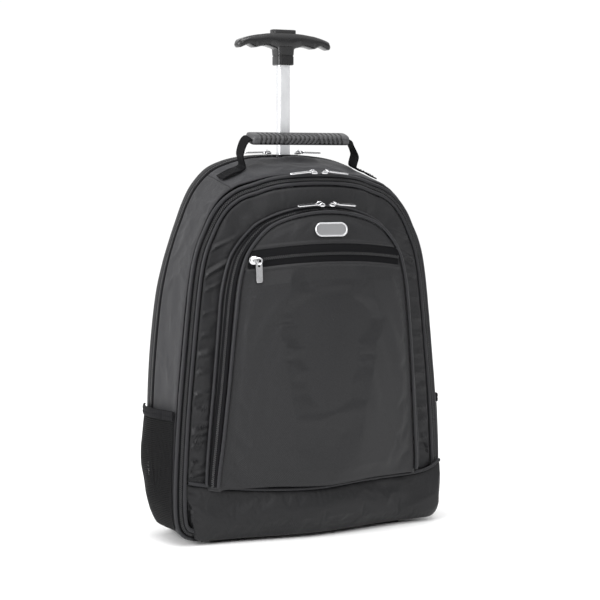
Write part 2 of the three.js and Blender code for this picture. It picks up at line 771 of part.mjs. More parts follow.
// Frames that seat small pieces on a surface: X along it, Y up it, Z out of it.
function frameOn(surface, x, z, lift, turn = 0) {
  const small = 0.5;
  const here = vec(x, surface(x, z), z);
  const across = vec(2 * small, surface(x + small, z) - surface(x - small, z), 0).normalize();
  const up = vec(0, surface(x, z + small) - surface(x, z - small), 2 * small).normalize();
  const out = vec(0, 0, 0).crossVectors(across, up).normalize();
  const side = vec(0, 0, 0).crossVectors(up, out).normalize();
  return new THREE.Matrix4()
    .makeBasis(side, up, out)
    .setPosition(here.addScaledVector(out, lift))
    .multiply(new THREE.Matrix4().makeRotationZ(turn));
}

function stadium(length, width) {
  const r = width / 2;
  const shape = new THREE.Shape();
  shape.moveTo(-length / 2 + r, -r);
  shape.lineTo(length / 2 - r, -r);
  shape.absarc(length / 2 - r, 0, r, -Math.PI / 2, Math.PI / 2, false);
  shape.lineTo(-length / 2 + r, r);
  shape.absarc(-length / 2 + r, 0, r, Math.PI / 2, (3 * Math.PI) / 2, false);
  return shape;
}

const extruded = (shape, depth, segments = 3) =>
  new THREE.ExtrudeGeometry(shape, { depth, bevelEnabled: false, curveSegments: segments });

function addLabel() {
  const plate = extruded(stadium(labelWidth, labelHeight), labelThickness, 6);
  const seat = -1; // the facets of the domed face lie behind its smooth surface here
  add("label_plate", plate.applyMatrix4(frameOn(pocketSurface, 0, labelUp, seat)), nickel);
}

// A slider is a block with a bridge over it, along X. Its pull is a flat bar with an eye at one end,
// lying along X from the bridge.
function sliderGeometry() {
  const body = extruded(stadium(sliderLength, sliderWidth), sliderThickness * 0.45);
  const bridge = boxBetween(
    vec(-sliderLength * 0.22, -1.1, 0.5),
    vec(sliderLength * 0.22, 1.1, sliderThickness),
  );
  return join(body, bridge);
}

function pullGeometry(length = pullLength, width = pullWidth) {
  const shape = stadium(length, width);
  const eye = new THREE.Path();
  eye.absarc(-length / 2 + width / 2, 0, pullHole, 0, 2 * Math.PI, true);
  shape.holes.push(eye);
  return extruded(shape, pullThickness).translate(length / 2, 0, 0);
}

// Both pieces on a frame, the pull to one side (+1 right, -1 left) or turned down.
function addSlider(name, frame, side, parent = pack) {
  const slider = sliderGeometry().applyMatrix4(frame);
  add(`slider_${name}`, slider, nickel, parent);
  const start = sliderLength * 0.5 + 2 * gap;
  const pull = pullGeometry().translate(start, 0, 0.4);
  const flip = new THREE.Matrix4().makeRotationZ(side > 0 ? 0 : Math.PI);
  add(`pull_${name}`, pull.applyMatrix4(flip).applyMatrix4(frame), nickel, parent);
}

// A frame on the main zip's or the rear zip's crest near the top, out of the pack's skin.
function crestFrame(x, y, inset, lift, lean) {
  const step = 0.02;
  const reach = skinPoint(0.5 - step, y, inset).x;
  const t = 0.5 - (step * x) / reach;
  const here = skinPoint(t, y, inset);
  const ahead = skinPoint(t - 1e-3, y, inset);
  const along = ahead.sub(here).normalize();
  const out = vec(0, -Math.sin(lean), Math.cos(lean));
  const up = vec(0, 0, 0).crossVectors(out, along).normalize();
  const normal = vec(0, 0, 0).crossVectors(along, up).normalize();
  return new THREE.Matrix4()
    .makeBasis(along, up, normal)
    .setPosition(here.addScaledVector(normal, lift));
}

function addSliders() {
  const chamfer = Math.atan2(zipInset, zipSetback);
  const crest = seamY(0) + 1.5;
  const lift = 2.7;
  const apart = 8; // half the distance between two sliders that meet
  addSlider("main_left", crestFrame(-apart, crest, zipInset / 2, lift, chamfer * 0.6), -1);
  addSlider("main_right", crestFrame(apart, crest, zipInset / 2, lift, chamfer * 0.6), 1);
  const rear = (rearZipFront + rearZipBack) / 2;
  const rearApart = bezelHoleX + sliderLength / 2 + 4;
  addSlider("rear_left", crestFrame(-rearApart, rear, -rearZipProud, gap + 0.2, -0.1), -1);
  addSlider("rear_right", crestFrame(rearApart, rear, -rearZipProud, gap + 0.2, -0.1), 1);

  // The pocket's sliders sit on the top of its side wall.
  const wall = pocketWall(0.46);
  const top = wall[(wall.length - 1) / 2];
  const seat = tapeThickness + 2.6 + gap;
  for (const side of [-1, 1]) {
    const frame = new THREE.Matrix4()
      .makeBasis(vec(1, 0, 0), vec(0, 0, 0).crossVectors(top.a, vec(1, 0, 0)), top.a)
      .setPosition(top.middle.clone().addScaledVector(top.a, seat).add(vec(side * apart, 0, -0.4)));
    addSlider(side > 0 ? "pocket_right" : "pocket_left", frame, side);
  }

  // The face zip's slider is at its left end, and its pull hangs down.
  const x = -faceZipHalf + sliderLength / 2 + 1;
  const seatFace = 1.1 + faceZipThickness * 1.8 + gap;
  const face = frameOn(pocketSurface, x, faceZipZ(x), seatFace);
  add("slider_face", sliderGeometry().applyMatrix4(face), nickel);
  const hang = frameOn(pocketSurface, x + 2, faceZipZ(x) - sliderWidth / 2 - 2 * gap, seatFace + 0.3);
  const turn = new THREE.Matrix4().makeRotationZ(-Math.PI / 2);
  const pull = pullGeometry(facePullLength, facePullWidth).applyMatrix4(turn);
  add("pull_face", pull.applyMatrix4(hang), nickel);
}

// Net side pockets
function netPoint(side, a, b, inset) {
  const z = mix(netBottom, netTop, b);
  const y = mix(netFront, netBack, a);
  const t = outlineParameter(side, z, y);
  const swell = netBulge * Math.sin(Math.PI * a ** 1.15) ** 0.8 * Math.sin(Math.PI * mix(0.06, 0.74, b));
  return skinPoint(t, y, inset - swell);
}

// The parameter at which the outline on one side reaches a height, below the shoulder.
function outlineParameter(side, z, y) {
  let low = rowParameter(3);
  let high = rowParameter(shoulderRow);
  for (let i = 0; i < 30; i++) {
    const middle = (low + high) / 2;
    if (skinPoint(middle, y, 0).z < z) low = middle;
    else high = middle;
  }
  return side > 0 ? low : 1 - low;
}

function addNetPockets() {
  for (const side of [-1, 1]) {
    const name = side > 0 ? "right" : "left";
    const net = (inset) =>
      steps(0, 1, netRows).map((b) =>
        steps(0, 1, netColumns).map((a) => netPoint(side, a, b, inset)),
      );
    const seat = 1.3; // clears the side panel's facets
    add(`net_${name}`, slab(net(-seat - netThickness), net(-seat), netHoleShare), trim);
    const bandTop = (netTop + elasticHeight + 3 * gap - netBottom) / (netTop - netBottom);
    const bandFoot = 1 + (3 * gap) / (netTop - netBottom);
    const band = (inset) =>
      steps(bandFoot, bandTop, 1).map((b) =>
        steps(0, 1, netColumns).map((a) => {
          const point = netPoint(side, a, 1, inset);
          const z = mix(netBottom, netTop, b);
          return vec(point.x, point.y, z);
        }),
      );
    add(`elastic_${name}`, slab(band(-seat - elasticThickness), band(-seat)), trim);
  }
}

// Carrying grip: a rubber bar on webbing that is sewn to the top panel. Both lean forwards with
// the top panel.
const gripFrame = new THREE.Matrix4()
  .makeTranslation(0, gripDepth, gripUp)
  .multiply(new THREE.Matrix4().makeRotationX(THREE.MathUtils.degToRad(gripLean)));
function addGrip() {
  const half = gripLength / 2;
  const section = [
    [-0.5, -0.4],
    [-0.5, -0.1],
    [-0.4, 0.25],
    [-0.2, 0.5],
    [0.2, 0.5],
    [0.4, 0.25],
    [0.5, -0.1],
    [0.5, -0.4],
    [0.38, -0.5],
    [-0.38, -0.5],
  ];
  const stations = [-1, -0.96, -0.5, 0, 0.5, 0.96, 1];
  const loops = stations.map((s) => {
    const full = Math.abs(s) === 1 ? 0.84 : 1;
    return section.map(([y, z]) => vec(s * half, y * gripWidth * full, z * gripHeight * full));
  });
  const slot = boxBetween(
    vec(-half - 20, -webHalf - gap, -webMid - gap),
    vec(half + 20, webHalf + gap, webMid + gap),
  );
  add("grip", cut(loft(loops), slot).applyMatrix4(gripFrame), rubber);
}

// The webbing runs through the grip, down on both sides and outwards along the top panel.
function addGripWebbing() {
  const seat = 1.3;
  const half = gripLength / 2;
  const edge = (across, lift) => {
    const inGrip = (x, z) => vec(x, across * webHalf, z).applyMatrix4(gripFrame);
    const y = gripDepth + across * webHalf;
    const onPack = (row, out) => skinPoint(rowParameter(row), y, -seat - out);
    const right = [
      inGrip(half * 0.3, 0),
      inGrip(half * 0.9, 0),
      inGrip(half + 3, 0),
      inGrip(half + 8, -7),
      onPack(17.5, 15).add(vec(4, 0, 0)),
      onPack(17.3, 1.2),
      onPack(16.6, 0),
      onPack(15.9, 0),
    ];
    const left = right.map((p) => vec(-p.x, p.y, p.z)).reverse();
    const path = new THREE.CatmullRomCurve3([...left, ...right], false, "catmullrom", 0.4);
    return steps(0, 1, 26).map((t) => {
      const along = path.getTangent(t);
      return path.getPoint(t).addScaledVector(vec(-along.z, 0, along.x), lift);
    });
  };
  const grid = (lift) => {
    const edges = [edge(-1, lift), edge(1, lift)];
    return edges[0].map((point, i) => [point, edges[1][i]]);
  };
  add("grip_webbing", slab(grid(webMid), grid(-webMid)), trim);
}

// Telescopic handle
function roundedRectangle(width, height, radius) {
  const shape = new THREE.Shape();
  const x = width / 2 - radius;
  const y = height / 2 - radius;
  shape.absarc(x, y, radius, 0, Math.PI / 2, false);
  shape.absarc(-x, y, radius, Math.PI / 2, Math.PI, false);
  shape.absarc(-x, -y, radius, Math.PI, (3 * Math.PI) / 2, false);
  shape.absarc(x, -y, radius, (3 * Math.PI) / 2, 2 * Math.PI, false);
  return shape;
}

function tube(step, bottom, top) {
  const { x, y } = tubeSize(step);
  const corner = 2.4;
  const shape = roundedRectangle(x, y, corner);
  const bore = roundedRectangle(x - 2 * tubeWall, y - 2 * tubeWall, corner - tubeWall);
  shape.holes.push(bore);
  return extruded(shape, top - bottom, 2).translate(0, poleDepth, bottom);
}

const topAt = (y) => skinPoint(0.5, y, 0).z;

function addTrolley() {
  add("outer_tube", tube(2, outerTubeBottom, outerTubeTop), aluminium, trolley);
  add("middle_tube", tube(1, middleTubeBottom, outerTubeTop + 4), aluminium, trolley);
  const socket = collarHeight - 4;
  add("pole", tube(0, poleBottom, collarBottom + socket), aluminium, trolley);

  // The bezel lines the hole in the pack's top and holds the outer tube's upper end.
  const plug = extruded(
    roundedRectangle(outerTube.x + 2 * bezelWall, outerTube.y + 2 * bezelWall, 1.5),
    bezelHeight,
    2,
  ).translate(0, poleDepth, topAt(poleDepth) + bezelProud - bezelHeight);
  const through = boxBetween(
    vec(-outerTube.x / 2 - gap, poleDepth - outerTube.y / 2 - gap, outerTubeTop - beyond),
    vec(outerTube.x / 2 + gap, poleDepth + outerTube.y / 2 + gap, outerTubeTop + gap),
  );
  const middleTube = tubeSize(1);
  const mouth = boxBetween(
    vec(-middleTube.x / 2 - gap, poleDepth - middleTube.y / 2 - gap, outerTubeTop - beyond),
    vec(middleTube.x / 2 + gap, poleDepth + middleTube.y / 2 + gap, outerTubeTop + beyond),
  );
  add("bezel", cut(plug, through, mouth), blackPlastic, trolley);
}

// Tee: sections from one end to the other, with a well for the button and a socket for the collar
function addTee() {
  const ring = [
    [-0.5, 0.3],
    [-0.5, 0.72],
    [-0.28, 1],
    [0.28, 1],
    [0.5, 0.72],
    [0.5, 0.3],
    [0.28, 0],
    [-0.28, 0],
  ];
  const rows = [
    ...teeRows.slice(1).toReversed().map((row) => ({ ...row, side: -1 })),
    ...teeRows.map((row) => ({ ...row, side: 1 })),
  ];
  const loops = rows.map((row) => {
    const high = teeTop - row.top * teeHeight;
    const low = teeTop - row.under * teeHeight;
    return ring.map(([y, z]) =>
      vec(
        (row.side * row.across * teeWidth) / 2,
        poleDepth + y * teeThick * row.thick,
        mix(low, high, z),
      ),
    );
  });
  const collar = extruded(
    roundedRectangle(collarWidth, collarThick, 3),
    collarHeight + 6,
  ).translate(0, poleDepth, collarBottom);
  const tubeSocket = boxBetween(
    vec(-poleWidth / 2 - gap, poleDepth - poleThick / 2 - gap, collarBottom - beyond),
    vec(poleWidth / 2 + gap, poleDepth + poleThick / 2 + gap, collarBottom + collarHeight - 4 + gap),
  );
  const well = boxBetween(
    vec(-buttonWidth / 2 - gap, poleDepth - buttonThick / 2 - gap, teeTop - buttonDepth - buttonTravel - gap),
    vec(buttonWidth / 2 + gap, poleDepth + buttonThick / 2 + gap, teeTop + beyond),
  );
  add("tee", cut(join(loft(loops), collar), tubeSocket, well), blackPlastic, trolley);
  const button = extruded(
    roundedRectangle(buttonWidth, buttonThick, 2),
    buttonDepth + buttonProud,
  ).translate(0, poleDepth, teeTop - buttonDepth);
  add("button", button, blackPlastic, trolley);
}

// Wheels, their axles and wells
function ringProfile(rows) {
  return rows.map(([radius, x]) => new THREE.Vector2(radius, x));
}

function lathed(rows, segments = 16) {
  const profile = ringProfile([...rows, rows[0]]);
  const geometry = new THREE.LatheGeometry(profile, segments);
  const bare = new THREE.BufferGeometry();
  bare.setAttribute("position", geometry.getAttribute("position"));
  bare.setIndex(geometry.index);
  const merged = mergeVertices(bare, 1e-4);
  const points = [];
  for (let i = 0; i < merged.attributes.position.count; i++) {
    points.push(vec(0, 0, 0).fromBufferAttribute(merged.attributes.position, i));
  }
  const faces = [...merged.index.array];
  const kept = [];
  for (let i = 0; i < faces.length; i += 3) {
    const [a, b, c] = faces.slice(i, i + 3);
    if (a !== b && b !== c && c !== a) kept.push(a, b, c);
  }
  return facingOut(points, kept).rotateZ(-Math.PI / 2);
}

function addWheels() {
  for (const side of [-1, 1]) {
    const name = side > 0 ? "right" : "left";
    const group = new THREE.Group();
    group.position.set(side * wheelSpread, wheelDepth, wheelRadius);
    wheels.add(group);
    const half = wheelWidth / 2;
    const rim = wheelRadius - tyreThickness;
    const tyre = lathed([
      [rim, -half + 1],
      [wheelRadius - 1.5, -half + 1],
      [wheelRadius, -half + 5],
      [wheelRadius, half - 5],
      [wheelRadius - 1.5, half - 1],
      [rim, half - 1],
    ]);
    add(`tyre_${name}`, tyre, tyreRubber, group);
    const bore = axleRadius + boreClearance;
    const hub = lathed([
      [bore, -half],
      [rim * 0.45, -half],
      [rim * 0.55, -half + 5],
      [rim - gap, -half + 2],
      [rim - gap, half - 2],
      [rim * 0.55, half - 5],
      [rim * 0.45, half],
      [bore, half],
    ]);
    add(`hub_${name}`, hub, blackPlastic, group);
    const reach = half + wheelClearance + housingWall - gap;
    const axle = new THREE.CylinderGeometry(axleRadius, axleRadius, 2 * reach, 12)
      .rotateZ(Math.PI / 2);
    add(`axle_${name}`, axle, nickel, group);
    add(`wheel_well_${name}`, wheelWell(side), blackPlastic);
  }
}

// A box open below and behind, with its rear corner cut round the wheel, and holes for the axle.
function wheelWell(side) {
  const x = side * wheelSpread;
  const lip = groundGap - 2;
  const outer = boxBetween(vec(x - wellHalf, wellFront, lip), vec(x + wellHalf, wellBack, wellTop));
  const room = boxBetween(
    vec(x - wellHalf + housingWall, wellFront + housingWall, -beyond),
    vec(x + wellHalf - housingWall, wellBack + beyond, wellTop - housingWall),
  );
  const axleHole = new THREE.CylinderGeometry(axleRadius + gap, axleRadius + gap, 4 * wellHalf, 12)
    .rotateZ(Math.PI / 2)
    .translate(x, wheelDepth, wheelRadius);
  return cut(outer, room, axleHole);
}

// Skid under the front of the base, which the pack stands on together with its wheels
function addSkid() {
  const shape = roundedRectangle(skidLength, skidWidth, 6);
  add("front_skid", extruded(shape, groundGap - gap).translate(0, skidDepth, 0), rubber);
}

// Shoulder straps: padded, then webbing with a ladder buckle
const backFaceY = packDepth + backBulge;

// A strap's line, in shares of the way down the padding, of the way out, and of its standoff.
const strapRows = [
  { down: 0, out: 0, away: (strapThickness / 2 + 1) / strapStandoff },
  { down: 0.19, out: 0.12, away: 0.75 },
  { down: 0.424, out: 0.35, away: 1 },
  { down: 0.746, out: 0.75, away: 0.9 },
  { down: 1, out: 1, away: 0.65 },
];

function strapPath(side) {
  const places = strapRows.map(({ down, out, away }) =>
    vec(
      side * mix(strapTopSpread, strapPadEndSpread, out),
      backFaceY + strapStandoff * away,
      mix(strapTopUp, strapPadEnd, down),
    ),
  );
  return new THREE.CatmullRomCurve3(places, false, "catmullrom", 0.5);
}

// A loop of a flat strap's section at a place: width across, thickness out.
function strapSection(point, along, width, thickness) {
  const across = vec(1, 0, 0).addScaledVector(along, -along.x).normalize();
  const out = vec(0, 0, 0).crossVectors(across, along).normalize();
  const ring = [
    [-0.5, -0.2],
    [-0.42, -0.5],
    [0.42, -0.5],
    [0.5, -0.2],
    [0.5, 0.2],
    [0.42, 0.5],
    [-0.42, 0.5],
    [-0.5, 0.2],
  ];
  return ring.map(([a, b]) =>
    point.clone().addScaledVector(across, a * width).addScaledVector(out, b * thickness),
  );
}

function addStraps() {
  for (const side of [-1, 1]) {
    const name = side > 0 ? "right" : "left";
    const path = strapPath(side);
    const pad = steps(0, 1, 12).map((t) => {
      const taper = 1 - 0.35 * share(t, 0.78, 1) - 0.12 * (1 - share(t, 0, 0.2));
      const ends = Math.min(1, 0.45 + 4 * Math.min(t, 1 - t));
      return strapSection(path.getPoint(t), path.getTangent(t), strapWidth * taper, strapThickness * ends);
    });
    add(`shoulder_strap_${name}`, loft(pad), cloth);

    const last = path.getPoint(1);
    const down = path.getTangent(1);
    const buckleAt = last.clone().addScaledVector(down, buckleHeight / 2 + gap + 0.6);
    const foot = vec(side * webFootSpread, backFaceY + webThickness / 2 + webSeat, webFootUp);
    const frame = new THREE.Matrix4().makeBasis(
      ...basisAlong(down),
    ).setPosition(buckleAt);
    const buckleShape = roundedRectangle(buckleWidth, buckleHeight, 3);
    for (const offset of [-1, 1]) {
      const slot = new THREE.Path();
      const x = webWidth / 2 + 1;
      const y = offset * buckleHeight * 0.22;
      slot.moveTo(-x, y - 1.9);
      slot.lineTo(-x, y + 1.9);
      slot.lineTo(x, y + 1.9);
      slot.lineTo(x, y - 1.9);
      slot.closePath();
      buckleShape.holes.push(slot);
    }
    const buckle = extruded(buckleShape, buckleThickness).translate(0, 0, -buckleThickness / 2);
    add(`strap_buckle_${name}`, buckle.applyMatrix4(frame), blackPlastic);

    // The webbing lies over the outer side of the buckle.
    const over = (buckleThickness + webThickness) / 2 + gap;
    const onBuckle = (upward) => vec(0, upward * buckleHeight * 0.5, over).applyMatrix4(frame);
    const web = new THREE.CatmullRomCurve3(
      [onBuckle(0.8), onBuckle(-1), onBuckle(-1).lerp(foot, 0.5).add(vec(0, 3, -3)), foot],
      false,
      "catmullrom",
      0.5,
    );
    const loops = steps(0, 1, 6).map((t) => {
      const point = web.getPoint(t);
      return strapSection(point, web.getTangent(t), webWidth, webThickness);
    });
    add(`strap_web_${name}`, loft(loops), trim);
  }
}

// X across, Y along the strap and Z out of it.
function basisAlong(down) {
  const up = down.clone().multiplyScalar(-1);
  const across = vec(1, 0, 0).addScaledVector(up, -up.x).normalize();
  const out = vec(0, 0, 0).crossVectors(across, up).normalize();
  return [across, up, out];
}

addBandPanels();
addMainZip();
addRearZip();
addBackShell();
addFrontPanel();
addBoot();
addPocket();
addPocketZip();
addFaceZip();
addLabel();
addSliders();
addNetPockets();
addGrip();
addGripWebbing();
addTrolley();
addTee();
addWheels();
addSkid();
addStraps();

// The origin is under the middle of the whole object, on the ground.
const extent = new THREE.Box3().setFromObject(pack);
pack.position.y = -(extent.min.y + extent.max.y) / 2;

export default pack;
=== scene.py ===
# A wheeled backpack: cloth, zips, net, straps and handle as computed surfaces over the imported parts.
# Surfaces are worked out in millimetres, seen from the pack's own front plane, then put in the frame.
import math
import bpy
import numpy as np
from mathutils import Euler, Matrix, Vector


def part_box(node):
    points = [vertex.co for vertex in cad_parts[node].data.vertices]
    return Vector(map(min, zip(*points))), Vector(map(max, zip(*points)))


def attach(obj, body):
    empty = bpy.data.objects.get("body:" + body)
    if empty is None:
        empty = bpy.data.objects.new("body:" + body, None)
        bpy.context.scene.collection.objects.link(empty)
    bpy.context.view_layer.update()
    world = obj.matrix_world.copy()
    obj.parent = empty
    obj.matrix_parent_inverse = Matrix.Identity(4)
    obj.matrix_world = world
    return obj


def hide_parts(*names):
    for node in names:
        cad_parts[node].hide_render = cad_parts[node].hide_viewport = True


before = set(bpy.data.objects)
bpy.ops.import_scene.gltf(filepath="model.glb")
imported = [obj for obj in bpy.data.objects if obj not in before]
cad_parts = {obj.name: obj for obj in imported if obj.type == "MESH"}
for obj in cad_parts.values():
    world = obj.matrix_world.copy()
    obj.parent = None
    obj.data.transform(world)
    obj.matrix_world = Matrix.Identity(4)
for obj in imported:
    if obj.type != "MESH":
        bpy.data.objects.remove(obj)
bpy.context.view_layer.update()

mm = 0.001
poleY = 91  # how far the pole's middle is behind the front plane
packMiddle = (0, 56, 240)
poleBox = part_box("pole")
shiftY = (poleBox[0].y + poleBox[1].y) / 2 - poleY * mm

camera = {"place": (-1.0111, -1.9232, 0.463), "turn": 27.8, "down": 3.5, "lens": 102.5, "shift": -0.048}
light = {"key": 12, "side": 40, "top": 13, "wall": 1.02, "room": 0.38, "ceiling": 1.25}

pack = {
    "frontWidth": 379, "backWidth": 368, "backTop": 480, "frontTop": 455, "ground": 4, "depth": 112,
    "backFace": 118, "seamBow": 16, "seamFlat": 0.75, "belly": 3, "wall": 2.5, "panelBulge": 6,
    "zipInset": 15.5, "zipSetback": 8, "pipingRadius": 2.6,
    "rearFront": 86, "rearBack": 96,
    "cornerRow": 3, "shoulderRow": 15.75, "tuckedBack": 10,
}

# Shares of half the width and of the height, from the bottom's middle to the top's middle:
# front across, front up, back across, back up
outlineRows = np.array([
    (0, 0, 0, 0), (0.42, 0, 0.42, 0), (0.77, 0.001, 0.76, 0), (0.9, 0.009, 0.87, 0.009),
    (0.966, 0.029, 0.92, 0.026), (0.995, 0.067, 0.95, 0.06), (1, 0.14, 0.978, 0.13),
    (0.99, 0.24, 1, 0.24), (0.968, 0.375, 0.997, 0.37), (0.935, 0.52, 0.975, 0.5),
    (0.903, 0.65, 0.935, 0.625), (0.874, 0.74, 0.886, 0.705), (0.838, 0.8, 0.832, 0.77),
    (0.785, 0.851, 0.785, 0.82), (0.732, 0.893, 0.731, 0.873), (0.658, 0.93, 0.666, 0.918),
    (0.56, 0.958, 0.565, 0.959), (0.45, 0.974, 0.455, 0.98), (0.32, 0.99, 0.32, 0.993),
    (0.16, 0.998, 0.16, 0.999), (0, 1, 0, 1),
])

# Base across, base up, face across, face up, share of the pocket's depth
pocketRows = np.array([
    (0, 0, 0, 0, 0.72), (0.5, 0, 0.5, 0, 0.72), (0.93, 0, 0.93, 0, 0.72), (1, 0.01, 1, 0.01, 0.74),
    (0.978, 0.205, 0.96, 0.195, 0.9), (0.944, 0.36, 0.92, 0.375, 1), (0.913, 0.519, 0.884, 0.537, 1),
    (0.886, 0.666, 0.848, 0.675, 1), (0.86, 0.733, 0.825, 0.75, 1), (0.824, 0.792, 0.79, 0.813, 1),
    (0.786, 0.833, 0.752, 0.853, 1), (0.72, 0.874, 0.69, 0.892, 1), (0.646, 0.909, 0.61, 0.928, 1),
    (0.56, 0.941, 0.51, 0.957, 0.98), (0.39, 0.974, 0.36, 0.98, 0.95), (0.2, 0.994, 0.18, 0.995, 0.92),
    (0, 1, 0, 1, 0.92),
])

# Boot's lower edge on its left and on its right: share of half the width, share of the seam's height
bootLeft = np.array([
    (0, 0), (0.25, 0), (0.48, 0), (0.68, 0), (0.84, 0), (0.9, 0.01), (0.935, 0.05), (0.955, 0.14),
    (0.97, 0.25), (0.984, 0.37), (0.995, 0.5), (1, 0.64),
])
bootRight = np.array([
    (0, 0), (0.5, 0), (0.9, 0), (0.93, 0.01), (0.955, 0.035), (0.975, 0.08), (0.99, 0.17), (1, 0.32),
])

# Tee: share of half its width, drop of its top, drop of its underside, thickness
teeRows = np.array([
    (0, 0, 1, 1), (0.13, 0.01, 1, 1), (0.22, 0.02, 0.84, 0.98), (0.38, 0.05, 0.72, 0.95),
    (0.5, 0.1, 0.76, 0.93), (0.63, 0.15, 0.86, 0.92), (0.76, 0.24, 0.67, 0.9), (0.86, 0.33, 0.78, 0.88),
    (0.95, 0.44, 0.9, 0.82), (1, 0.56, 0.84, 0.5),
])


# Small sums

def mix(a, b, w):
    return a + (b - a) * w


def share(value, low, high):
    return np.clip((value - low) / (high - low), 0, 1)


def bump(value, middle, half):  # 1 at the middle, 0 beyond half a width from it, with soft ends
    return np.cos(np.clip((value - middle) / half, -1, 1) * np.pi / 2) ** 2


def unit(v):
    return v / np.maximum(np.linalg.norm(v, axis=-1, keepdims=True), 1e-9)


def smoothNoise(points, size, seed):  # sum of fixed waves in all directions, about -1 to 1
    random = np.random.default_rng(seed)
    total = np.zeros(points.shape[:-1])
    for _ in range(10):
        way = unit(random.normal(size=3)) * 2 * np.pi / (size * random.uniform(0.7, 1.5))
        total += np.sin(points @ way + random.uniform(0, 2 * np.pi))
    return total / 4


# Curves

def blended(start, end, startWay, endWay, w):  # cubic between two points with a given slope at each
    point = (2 * w**3 - 3 * w**2 + 1) * start + (w**3 - 2 * w**2 + w) * startWay
    point = point + (3 * w**2 - 2 * w**3) * end + (w**3 - w**2) * endWay
    slope = 6 * (w**2 - w) * (start - end) + (3 * w**2 - 4 * w + 1) * startWay + (3 * w**2 - 2 * w) * endWay
    return point, unit(slope)


def alongRing(control, t):  # closed Catmull-Rom curve: place and direction
    count = len(control)
    place = np.mod(t, 1.0) * count
    i = np.floor(place).astype(int)
    w = (place - i)[..., None]
    p0, p1, p2, p3 = (control[(i + k) % count] for k in (-1, 0, 1, 2))
    return blended(p1, p2, (p2 - p0) / 2, (p3 - p1) / 2, w)


def alongOpen(control, t, tension=0.5):  # open Catmull-Rom curve through points
    control = np.asarray(control, float)
    full = np.concatenate([2 * control[:1] - control[1:2], control, 2 * control[-1:] - control[-2:-1]])
    place = np.clip(t, 0, 1) * (len(control) - 1)
    i = np.minimum(np.floor(place).astype(int), len(control) - 2)
    w = (place - i)[..., None]
    p0, p1, p2, p3 = (full[i + k] for k in (0, 1, 2, 3))
    return blended(p1, p2, (p2 - p0) * tension, (p3 - p1) * tension, w)


def mirroredRing(half):  # right half from bottom to top, then the left half down again
    return np.concatenate([half, (half * (-1, 1))[-2:0:-1]])


def outlineRing(across, up, width, top):
    x = outlineRows[:, across] * width / 2
    return mirroredRing(np.stack([x, mix(pack["ground"], top, outlineRows[:, up])], -1))


frontRing = outlineRing(0, 1, pack["frontWidth"], pack["frontTop"])
backRing = outlineRing(2, 3, pack["backWidth"], pack["backTop"])
ringCount = len(frontRing)


def seamY(x):
    across = np.minimum(1, np.abs(2 * x / pack["frontWidth"]) / pack["seamFlat"])
    return pack["seamBow"] * (np.sin(np.pi / 2 * across) ** 2 - 0.5)


def skin(t, y, inset):  # a point of the pack's skin at a place round the outline and a depth
    t, y, inset = np.broadcast_arrays(np.asarray(t, float), y, inset)
    v = share(y, 0, pack["depth"])[..., None]
    front, frontWay = alongRing(frontRing, t)
    back, backWay = alongRing(backRing, t)
    point = mix(front, back, v)
    way = unit(mix(frontWay, backWay, v))
    belly = pack["belly"] * np.minimum(1, 1 - way[..., 0])
    out = belly * np.sin(np.pi * v[..., 0]) - inset
    return np.stack([point[..., 0] + way[..., 1] * out, y, point[..., 1] - way[..., 0] * out], -1)


panelMiddle = (pack["ground"] + pack["frontTop"]) / 2


def panelY(x, z):
    across = np.maximum(0, 1 - (2 * x / pack["frontWidth"]) ** 2)
    up = np.maximum(0, 1 - ((z - panelMiddle) / (pack["frontTop"] - panelMiddle)) ** 2)
    return seamY(x) - pack["panelBulge"] * across * up


boot = {"seamMiddle": 66, "seamEnds": 82, "bulge": 12, "piping": 2.4, "gap": 0.3, "wall": 2.5,
        "rightHalf": 187, "turnBack": 8}
seamHalf = pack["frontWidth"] / 2 - pack["zipInset"]
bootHalf = seamHalf - boot["gap"]


def bootSeamZ(x):  # rises evenly to the left end, and late and steeply to the right end
    left = mix(boot["seamMiddle"], boot["seamEnds"], np.abs(x / seamHalf) ** 2.4)
    right = boot["seamMiddle"] + 3 * share(x, 0, 60) + 8.5 * np.abs(np.clip(x, 0, 181) / seamHalf) ** 12
    return np.where(np.asarray(x) > 0, right, left)


def bootY(x, up):  # on the right the boot swells on past the zip and turns back round its end
    across = np.maximum(0, 1 - (x / np.where(x > 0, 1.35 * bootHalf, bootHalf)) ** 4)
    face = seamY(x) - boot["bulge"] * across * np.sin(np.pi * mix(0.12, 0.78, up))
    past = share(x, boot["rightHalf"] - 5, boot["rightHalf"] + 0.2)
    turned = boot["turnBack"] * (1 - np.sqrt(1 - past ** 2))
    return face + 5 * (1 - share(up, 0, 0.2)) ** 2 - 1.5 * share(x, 120, 165) + turned


pocket = {
    "baseWidth": 300, "faceWidth": 276, "baseTop": 413, "faceTop": 405, "depth": 21, "seat": 1.1,
    "dome": 11, "piping": 2.2, "wall": 2.5,
    "zipHalf": 105, "zipEnds": 349, "zipRise": 8, "stripUp": 11.5, "stripDown": 10, "stripDeep": 1.9,
    "pipingLift": 2.25, "zipLevel": 0.46,
}


def pocketRing(across, up, width, top):
    x = pocketRows[:, across] * width / 2
    return mirroredRing(np.stack([x, mix(bootSeamZ(x) + 0.9, top, pocketRows[:, up])], -1))


pocketBase = pocketRing(0, 1, pocket["baseWidth"], pocket["baseTop"])
pocketFace = pocketRing(2, 3, pocket["faceWidth"], pocket["faceTop"])
pocketRise = np.concatenate([pocketRows[:, 4], pocketRows[-2:0:-1, 4]])
pocketMiddle = mix(boot["seamMiddle"], pocket["faceTop"], 0.62)


